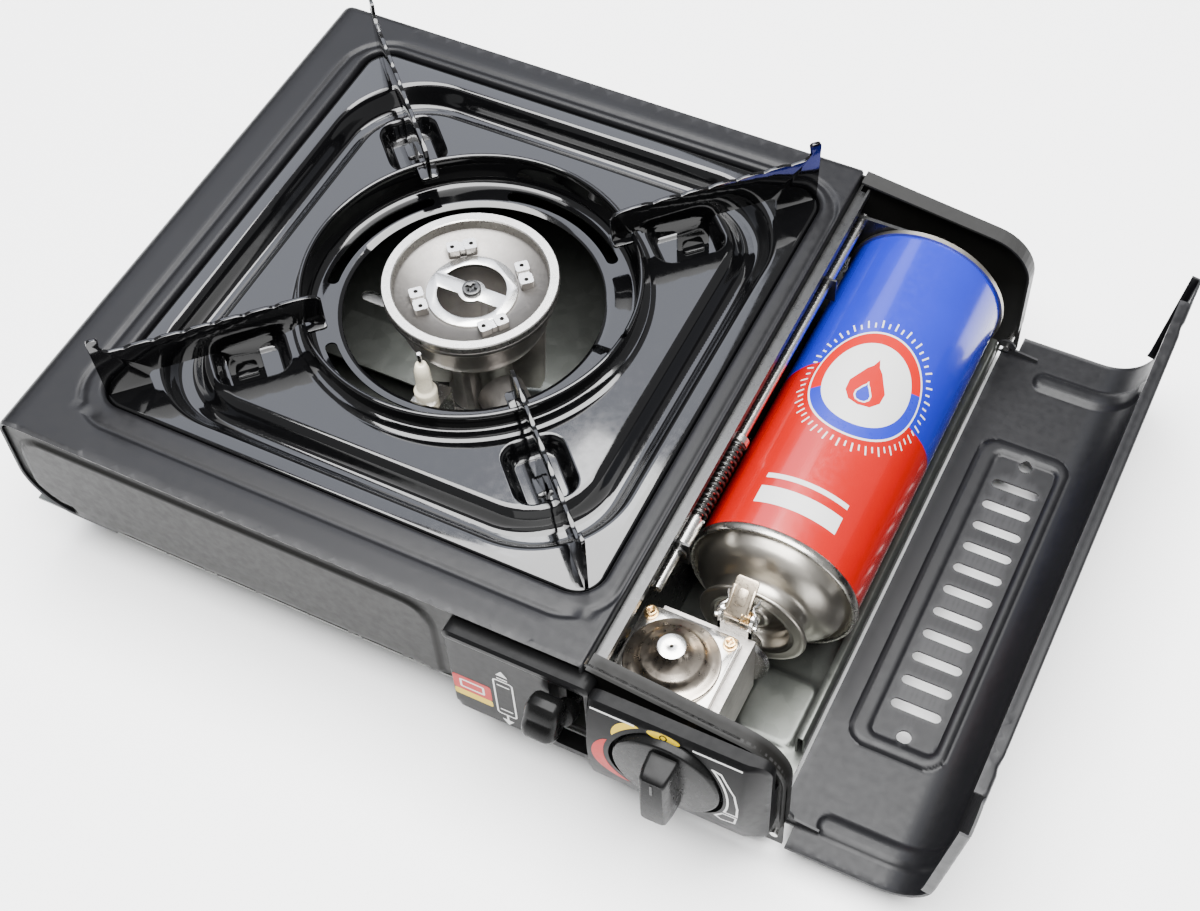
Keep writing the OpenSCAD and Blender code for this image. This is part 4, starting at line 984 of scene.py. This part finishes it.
def latch_tab_shape():
    """Bent strip that rides over the cartridge's neck, with a rolled hub and a pressed rib."""
    blank = rounded(4.4, 7.4, 1.4, 0, 6.4, 5)
    strip = prism(blank, 1.1)
    rib = moved(prism(rounded(2.0, 3.2, 1.4, 0, 6.4, 5), 0.6), (0, 0, 1.05))
    lips = [moved(prism(rounded(0.55, 4.6, 0.4, s * 3.9, 5.6, 2), 1.4), (0, 0, 0.6)) for s in (-1, 1)]
    strip = moved(joined(strip, rib, *lips), (0, 0, 1.3))
    strip = moved(strip, (-0.4, 0, 0), turn("X", 36))
    hub = moved(revolve([(1.3, -4.8), (2.4, -4.8), (2.4, 1.2), (1.3, 1.2)], 28), rows=ALONG_X)
    finger = moved(prism(rounded(2.0, 3.4, 0.6, 0, 0, 3), 1.2), (-1.5, 1.6, -3.6), turn("X", 90))
    return moved(joined(strip, hub, finger), LATCH)


def latch_ears_shape():
    """Two ears with the bent wires that hold the hub."""
    ears = []
    for x in (-6.5, 5.5):
        side_view = [(-3.5, -8), (-2.5, -8)] + arc(0, 0, 2.6, -60, 150, 10) + [(-3.5, 1.4)]
        ears.append(moved(prism(side_view, 1.0, [circle(1.2, 14)]), (x, 0, 0), ALONG_X))
    plate = moved(prism(rounded(6.5, 4, 0.8, 0, 0, 3), 1.0), (0, -2.5, -7), FACE_FRONT)
    path = [(7.4, -2.4, -1.2), (7.6, -1.2, 0.6), (6.6, 0.2, 2.6), (5.2, 1.6, 3.0), (4.9, 3.0, 3.6),
            (5.8, 4.2, 4.6), (6.0, 5.4, 5.6)]
    ball = revolve([(0, -1.1), (0.8, -0.8), (1.1, 0), (0.8, 0.8), (0, 1.1)], 16)
    wires = []
    for s in (-1, 1):
        bent = [(s * x, y, z) for x, y, z in path]
        wires += [tube(bent, 0.62, 10), moved(ball, bent[0])]
    return moved(joined(*ears, plate, *wires), LATCH)


part("latch_strip", latch_tab_shape(), COPPER, "latch", ["latch_tab"], bevel=0.2)
part("latch_ears", latch_ears_shape(), STEEL, "stove", ["latch_bracket"], sharp=35)
part("latch_coil", moved(tube(coil(2.25, 3.4, 5), 0.36, 8), (LATCH[0] + 1.6, LATCH[1], LATCH[2]), ALONG_X),
     BRASS, "stove", ["latch_spring"])

# ---- gas bay ----------------------------------------------------------------------------


def bay_floor_shape():
    """Floor with a raised pad beside the regulator, and a folded rail along the lid."""
    def surface(u, v):
        pad = smooth_step(-sd_box(u - 306, v - 52, 12, 15, 5), -1.4, 1.4)
        step = smooth_step(v, 26, 29) * smooth_step(70 - v, 0, 3)
        z = 8.1 + 1.6 * pad + 0.5 * step
        return np.column_stack([u, v, z])

    xs = ticks((255, 290, 5.0), (291, 323, 1.0))
    ys = ticks([8, 14, 20], (24, 86, 1.3), (90, 254, 8.0))
    outline = [(253.3, 3.3), (323, 3.3), (323, 255.7), (253.3, 255.7)]
    floor_sheet = sheet(outline, [], surface, 1.0, 3.0, xs, ys)
    rail = [(319.4, 8.5), (319.4, 19.2), (320.2, 20), (322.2, 20), (323, 19.2), (323, 10), (322.3, 10),
            (322.3, 18.8), (321.9, 19.2), (320.6, 19.2), (320.2, 18.8), (320.2, 8.5)]
    return joined(floor_sheet, moved(prism(rail, 210), (0, 248, 0), FACE_FRONT))


part("bay_floor_sheet", bay_floor_shape(), GALVANIZED, "stove", ["bay_floor"], sharp=45)

rod_spring = part("pusher_coil", moved(tube(coil(3.3, 36.8, 14, 16), 0.58, 8), (258.5, 80.6, 69), ALONG_Y),
                  DARK_STEEL, "stove", ["pusher_spring"])
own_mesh(rod_spring)

# ---- cartridge -----------------------------------------------------------------------------

CAN_X, CAN_Y, CAN_Z = 290.0, 82.0, 42.6  # the cartridge's axis, and its front seam
SKIN = 33.0  # radius of its printed body
CENTRE_U, CENTRE_Y = SKIN * math.radians(7), 161.5  # middle of its badge, in arc length and y
BADGE = 1.14  # how much longer than wide the badge is


def can_piece(profile, n=128):
    """A profile of radius and distance behind the front seam, turned about the cartridge's axis."""
    return moved(revolve(profile, n), (CAN_X, CAN_Y, CAN_Z), ALONG_Y)


def dome_shape():
    """Front seam, shoulder and neck flange."""
    dome = [(33.0, 2.1), (33.9, 2.1), (34.2, 1.7), (34.2, -0.9), (33.9, -1.4), (33.3, -1.7), (32.6, -1.4),
            (32.2, -0.6), (31.9, 0.4), (31.5, 0.7), (31.0, 0.2), (30.2, -1.2), (29.2, -3.8), (27.6, -5.9),
            (25.2, -7.7), (22.2, -9.3), (20.4, -10.1), (19.5, -10.3), (18.6, -11.0), (17.7, -12.3),
            (17.4, -13.4), (17.4, -16.6), (17.7, -17.2), (18.6, -17.5), (20.6, -17.5), (21.4, -17.8),
            (21.7, -18.4), (21.5, -19.0), (20.9, -19.4), (19.8, -19.5), (18.4, -19.3), (17.2, -19.6),
            (16.4, -19.5), (15.6, -18.4), (15.6, -12), (24, -7), (31, 2.1)]
    return can_piece(dome)


def cup_shape():
    """The valve's cup inside the neck."""
    return can_piece([(16.3, -19.4), (15.3, -19.3), (14.6, -18.4), (14.0, -14.2), (13.4, -12.2), (12.6, -11.5),
                      (11.2, -11.6), (10.4, -12.3), (9.3, -12.5), (8.4, -11.9), (7.4, -11.7), (6.4, -12.2),
                      (5.6, -15.4), (5.0, -16.4), (3.4, -16.7), (2.1, -16.6), (2.1, -15.6), (4.2, -14.6),
                      (5.6, -10.2), (16.3, -10.2)], 96)


def on_can(outline, holes=(), lift=0.04, step=1.4, stretch=1.0):
    """A thin patch of print, drawn in arc length and y, laid on the cartridge."""
    def surface(u, v):
        r = SKIN + lift
        y = CENTRE_Y + stretch * (v - CENTRE_Y)
        return np.column_stack([CAN_X + r * np.sin(u / SKIN), y, CAN_Z + r * np.cos(u / SKIN)])
    return sheet(outline, list(holes), surface, 0.03, step)


def flame(size, x, y):
    """A plain flame outline with its tip towards the back."""
    half = [(0, -1.0), (0.42, -0.9), (0.68, -0.55), (0.7, -0.1), (0.46, 0.32), (0.3, 0.62), (0.12, 0.82),
            (0, 1.15)]
    both = half + [(-a * 0.92, b) for a, b in half[-2:0:-1]]
    return [(x + size * a, y + size * b) for a, b in both]


part("can_print_body", can_piece([(32.4, 2.2), (33.0, 1.9), (33.0, 158.1), (32.4, 157.8)]), PRINT, "can",
     ["can_body"])
part("can_shoulder", dome_shape(), [TIN, SEAM], "can", ["can_dome"], sharp=60,
     pick=lambda c, n: int(math.hypot(c[0] - CAN_X, c[2] - CAN_Z) > 32.3))
part("can_valve_cup", cup_shape(), TIN, "can", ["can_cup"], sharp=60)
part("can_badge_disc", on_can(circle(23, 64, CENTRE_U, CENTRE_Y), stretch=BADGE), WHITE_INK, "can")
for name, ink, a0 in (("red", RED_INK, 20), ("blue", BLUE_INK, 200)):
    band = arc(CENTRE_U, CENTRE_Y, 22.2, a0, a0 + 180, 40) + arc(CENTRE_U, CENTRE_Y, 17.8, a0 + 180, a0, 40)
    part(f"can_badge_{name}", on_can(band, lift=0.09, stretch=BADGE), ink, "can")
part("can_badge_flame", on_can(flame(11, CENTRE_U, CENTRE_Y), [flame(5, CENTRE_U, CENTRE_Y - 4.5)], lift=0.09),
     RED_INK, "can")
part("can_badge_core", on_can(flame(4, CENTRE_U, CENTRE_Y - 4.8), lift=0.09), BLUE_INK, "can")
rays, RAYS = [], 60
for i in range(RAYS):
    c, s = math.cos(TAU * i / RAYS), math.sin(TAU * i / RAYS)
    tip = 25 + (3.4 if i % 2 else 2.2)
    dash = [(25, -0.32), (tip, -0.32), (tip, 0.32), (25, 0.32)]
    outline = [(CENTRE_U + x * c - y * s, CENTRE_Y + x * s + y * c) for x, y in dash]
    rays.append(on_can(outline, step=3.0, stretch=BADGE))
part("can_badge_rays", joined(*rays), WHITE_INK, "can")
bars = [on_can([(-15, y0), (19, y0), (19, y1), (-15, y1)]) for y0, y1 in ((95, 103), (107, 109.2))]
part("can_bars", joined(*bars), WHITE_INK, "can")


# ---- control panel, dial and lever ------------------------------------------------------------

DIAL_X, DIAL_Z = 290.0, 53.0
FACE_Y = -5  # the panel's flat face
# half sizes, corner radius and centre of the panel's flat part and of its raised block
FLAT, BLOCK = (29.5, 27.8, 3.5, 228.5, 50.2), (35, 27.25, 5, 292, 49.75)


def rounded_edge(x, z, part_of, width):
    """0 at the edge of a part of the panel, 1 further in than width."""
    hx, hz, r, cx, cz = part_of
    return smooth_step(-sd_box(x - cx, z - cz, hx, hz, r), -0.1, width)


def block_face(x, z):
    """How far the raised block's face stands at y, at a place on the panel."""
    bulge = 4 * (1 - ((z - BLOCK[4]) / 27.3) ** 2)
    y = FACE_Y + (-8 - bulge - FACE_Y) * smooth_step(x, 257, 259.2)
    return y + (FACE_Y - y) * np.clip((x - 318.5) / 8.5, 0, 1)


def slab(outline, holes, front, xs, zs, y_back, y_step):
    """Solid between a face y = front(x, z) and a back that stands at y_step along the lid's edge."""
    outline, holes = dense(outline, 1.6), [dense(h, 1.6) for h in holes]
    flat, tris = triangulate(outline, holes, [(x, z) for x in xs for z in zs])
    x, z = flat.T
    n = len(x)
    back = np.where((z > 72) | (x > 311) & (z > 56), y_step, y_back)
    verts = np.vstack([np.column_stack([x, front(x, z), z]), np.column_stack([x, back, z])])
    rim = [(b, a, a + n, b + n) for a, b in border(tris)]
    return verts, tris + [tuple(i + n for i in reversed(t)) for t in tris] + rim


def panel_shape():
    """Flat left part with the lever's slot, raised block with the dial's seat, and the top ledge."""
    def flat_face(x, z):
        return -3.9 - 1.1 * rounded_edge(x, z, FLAT, 1.3) - 0.9 * smooth_step(z, 73.2, 74.4)

    def raised_face(x, z):
        return FACE_Y + (block_face(x, z) - FACE_Y) * (0.55 + 0.45 * rounded_edge(x, z, BLOCK, 1.6))

    left = slab(rounded(*FLAT, 5), [rounded(7, 23, 1.6, 248.5, 50, 3)], flat_face,
                ticks((200, 258, 1.7)), ticks((23.5, 72, 3), (72.6, 78, 0.7)), 1.3, 1.3)
    right = slab(rounded(*BLOCK, 6), [circle(22.2, 72, DIAL_X, DIAL_Z)], raised_face,
                 ticks((257.6, 262, 0.8), (263, 317, 3), (317, 327, 0.9)),
                 ticks((23, 27, 0.8), (28, 72, 3), (72.6, 77, 0.7)), 1.2, -1.95)
    seat = moved(revolve([(7.5, 0), (22.4, 0), (22.4, 0.8), (7.5, 0.8)], 72), (DIAL_X, -7.4, DIAL_Z), ALONG_Y)
    return joined(left, right, seat)


def printed(name, ink, *shapes):
    part(name, joined(*shapes), ink, "stove")


def thin_print(outline, holes, face, lift):
    """A skin 0.05 mm thick that follows the panel's face."""
    outline, holes = dense(outline, 1.3), [dense(h, 1.3) for h in holes]
    flat, tris = triangulate(outline, holes, [])
    x, z = flat.T
    return thicken(np.column_stack([x, face(x, z) - lift, z]), tris, 0.05)


def left_print(outline, holes=(), lift=0.06):
    return thin_print(outline, holes, lambda x, z: np.full(len(x), FACE_Y), lift)


def right_print(outline, holes=(), lift=0.08):
    return thin_print(outline, holes, block_face, lift)


def line(points, width):
    """Outline of a polyline with the given width."""
    p = np.array(points, float)
    d = np.gradient(p, axis=0)
    d /= np.linalg.norm(d, axis=1)[:, None]
    n = np.column_stack([-d[:, 1], d[:, 0]]) * width / 2
    return [tuple(q) for q in p + n][::-1] + [tuple(q) for q in p - n]


part("panel_moulding", panel_shape(), PANEL, "stove", ["control_panel"], sharp=38)

STICKER = (208.2, 42.6)
printed("sticker_red", RED_INK, left_print(rounded(8, 5.2, 1.2, *STICKER, 4)))
printed("sticker_yellow", YELLOW_INK, left_print(rounded(8, 2.1, 0.8, STICKER[0], 35.2, 3)))
printed("sticker_mark", WHITE_INK, left_print(rounded(5.2, 3, 0.8, *STICKER, 3),
                                              [rounded(4.3, 2.1, 0.5, *STICKER, 3)], 0.12))
MARKS_X = 222  # middle of the column of marks beside the lever
arrows = [left_print([(219.6, 60.5), (224.4, 60.5), (MARKS_X, 64.2)]),
          left_print([(219.6, 27.6), (MARKS_X, 23.9), (224.4, 27.6)])]
cartridge = left_print(rounded(4.2, 13, 1.5, MARKS_X, 44, 3), [rounded(3.5, 12.3, 1.0, MARKS_X, 44, 3)])
bars = [left_print(rounded(hx, hz, 0.3, MARKS_X, z, 2))
        for hx, hz, z in ((2.2, 0.4, 58.4), (2.6, 0.35, 53.2), (2.6, 0.35, 34.8))]
shaft = left_print(line([(MARKS_X, 31), (MARKS_X, 27.6)], 0.8))
printed("lever_marks", WHITE_INK, *arrows, cartridge, *bars, shaft)
printed("panel_lines", WHITE_INK, *[right_print(line([(x, 74.6) for x in xs], 0.7))
                                    for xs in ((260, 268, 277), (299, 309, 317.6))])


def ellipse(a, b, n=40):
    """An oval above the dial."""
    return [(288 + a * x, 74.7 + b * y) for x, y in circle(1, n)]


def sweep(r0, r1, a0, a1, n=24):
    """A crescent round the dial that narrows to its ends."""
    t = np.linspace(0, 1, n + 1)
    angles = np.radians(a0 + (a1 - a0) * t)
    outer = r0 + (r1 - r0) * np.sin(math.pi * t) ** 0.7
    far = [(DIAL_X + r * math.cos(a), DIAL_Z + r * math.sin(a)) for r, a in zip(outer, angles)]
    near = [(DIAL_X + r0 * math.cos(a), DIAL_Z + r0 * math.sin(a)) for a in angles[-2:0:-1]]
    return far + near


printed("flame_scale_yellow", YELLOW_INK, right_print(sweep(24.2, 27.2, 118, 150)))
printed("flame_scale_red", RED_INK, right_print(sweep(24.2, 29.4, 160, 232)))
printed("off_mark", YELLOW_INK, right_print(ellipse(6.6, 2.1)))
printed("off_symbol", KNOB, right_print(ellipse(1.5, 1.35, 24), [ellipse(1.0, 0.9, 20)], 0.14),
        right_print(ellipse(6.9, 2.3), [ellipse(6.3, 1.85)], 0.14))
leaf = [(307, 69.8), (310.6, 69.2), (316.4, 59.8), (317.9, 52), (317.7, 45.2)]
leaf += arc(DIAL_X, DIAL_Z, 23.4, -20, 45, 12)
leaf_in = [(308.2, 69.0), (310.2, 68.4), (315.7, 59.5), (317.1, 51.9), (316.9, 46.0)]
leaf_in += arc(DIAL_X, DIAL_Z, 24.2, -17.4, 41.4, 12)
small = [(311.6, 43.8), (317.5, 44.2), (316.6, 38.0), (310.8, 36.4), (308.4, 38.8)]
small_in = [(312.0, 43.1), (316.6, 43.4), (315.9, 38.6), (311.1, 37.3), (309.5, 38.9)]
printed("leaf_outline", WHITE_INK, right_print(leaf, [leaf_in]), right_print(small, [small_in]))


def knob_shape():
    """Dial disc with a grip bar, a pointer rib and a turned edge."""
    disc = revolve([(0, 0), (19.6, 0), (20.4, 0.3), (20.8, 0.9), (20.8, 4), (0, 4)], 96)
    disc = moved(disc, (DIAL_X, -12.5, DIAL_Z), ALONG_Y)
    slices = []
    for y, hx, hz in ((-11.5, 5.9, 16.6), (-18, 5.6, 16.3), (-22.2, 5.0, 15.6), (-23, 4.4, 14.8)):
        slices.append([(DIAL_X + x, y, DIAL_Z + z) for x, z in rounded(hx, hz, 1.6, n=4)])
    bar = loft(slices)
    rib = moved(prism(rounded(0.5, 3.4, 0.4, DIAL_X, DIAL_Z + 10, 2), 0.5), (0, -22.8, 0), FACE_FRONT)
    return joined(disc, bar, rib)


def loft(slices):
    """Skin through outlines that have the same number of points."""
    m, n = len(slices), len(slices[0])
    ends = [tuple(range(n)), tuple(reversed(range((m - 1) * n, m * n)))]
    return np.array([p for s in slices for p in s], float), ends + stacked(m, n)


part("dial_grip", knob_shape(), KNOB, "dial", ["knob"], sharp=40)


def lever_knob_shape():
    """Faceted finger knob on the lever: a hooked upper part and a round lower pad."""
    side_view = [(5.6, 2.6), (5.0, 6.6), (2.2, 9.0), (-1.6, 9.2), (-4.4, 7.4), (-5.6, 4.0), (-5.0, 0.6),
                 (-6.2, -2.6), (-5.6, -6.4), (-3.0, -8.8), (0.6, -9.2), (3.8, -7.6), (5.6, -4.4)]
    w = 13
    slices = [[(x, y * k, z * k) for y, z in side_view] for x, k in
              ((0, 0.72), (1.0, 0.9), (2.6, 1.0), (w - 2.6, 1.0), (w - 1.0, 0.9), (w, 0.72))]
    knob = moved(loft(slices), (237, -30.9, 0))
    stem = moved(revolve([(0, -27), (4.4, -27), (4.6, -20.5), (0, -20.5)], 28), (248.5, 0, 0), ALONG_Y)
    return moved(joined(knob, stem), (0, 15, 48), turn("X", -25))


part("lever_grip", lever_knob_shape(), KNOB, "lever", ["lever_knob"], bevel=0.5)


# ---- floor, light and camera ------------------------------------------------------

def matte(name, color, rough):
    m = Nodes(name)
    m.shader.inputs["Base Color"].default_value = (*color, 1)
    m.shader.inputs["Roughness"].default_value = rough
    return m.material


def aim(obj, place, target):
    obj.location = place
    obj.rotation_euler = (Vector(target) - Vector(place)).to_track_quat("-Z", "Y").to_euler()


def soft_light(name, place, target, size, power, color=(1, 1, 1)):
    lamp = bpy.data.lights.new(name, "AREA")
    lamp.shape = "RECTANGLE"
    lamp.color = color
    lamp.size, lamp.size_y = size
    lamp.energy = power
    obj = bpy.data.objects.new(name, lamp)
    bpy.context.collection.objects.link(obj)
    aim(obj, place, target)


REACH = 4  # metres of floor to each side
corners = [(sx * REACH, sy * REACH, 0) for sx, sy in ((-1, -1), (1, -1), (1, 1), (-1, 1))]
floor_mesh = bpy.data.meshes.new("floor")
floor_mesh.from_pydata(corners, [], [(0, 1, 2, 3)])
floor_mesh.materials.append(matte("floor_white", (0.92, 0.92, 0.92), 0.8))
floor = bpy.data.objects.new("floor", floor_mesh)
bpy.context.collection.objects.link(floor)

world = bpy.data.worlds.new("studio")
bpy.context.scene.world = world
world.use_nodes = True
sky = world.node_tree.nodes["Background"].inputs
sky["Color"].default_value = (0.97, 0.98, 1.0, 1)
sky["Strength"].default_value = 0.4

# name, place and aim in metres, size in metres, watts, colour
AIM = (0.0, 0.02, 0.05)
soft_light("back_left_window", (-0.85, 0.85, 1.35), AIM, (1.1, 0.8), 10, (0.84, 0.88, 1.0))
soft_light("front_fill", (0.7, -1.3, 0.9), AIM, (1.4, 0.8), 3)
soft_light("overhead", (0.1, 0.0, 1.9), AIM, (2.0, 2.0), 250)

# the fitted camera: direction and roll in degrees, place in the stove's millimetres, lens in mm
AZIMUTH, ELEVATION, ROLL = (math.radians(a) for a in (29.89, 54.28, -4.02))
CAMERA_PLACE, LENS, SENSOR = (422.47, -272.05, 652.23), 56.62, 36
back = Vector((math.sin(AZIMUTH) * math.cos(ELEVATION), -math.cos(AZIMUTH) * math.cos(ELEVATION),
               math.sin(ELEVATION)))
side = Vector((math.cos(AZIMUTH), math.sin(AZIMUTH), 0))
up = back.cross(side)
rolled_side = math.cos(ROLL) * side + math.sin(ROLL) * up
rolled_up = math.cos(ROLL) * up - math.sin(ROLL) * side
camera = bpy.data.objects.new("camera", bpy.data.cameras.new("camera"))
camera.data.lens = LENS
camera.data.sensor_width = SENSOR
camera.data.sensor_fit = "HORIZONTAL"
camera.data.clip_start = 0.05
rows = zip(rolled_side, rolled_up, back, pt(CAMERA_PLACE))
camera.matrix_world = Matrix([*(tuple(row) for row in rows), (0, 0, 0, 1)])
bpy.context.collection.objects.link(camera)
bpy.context.scene.camera = camera
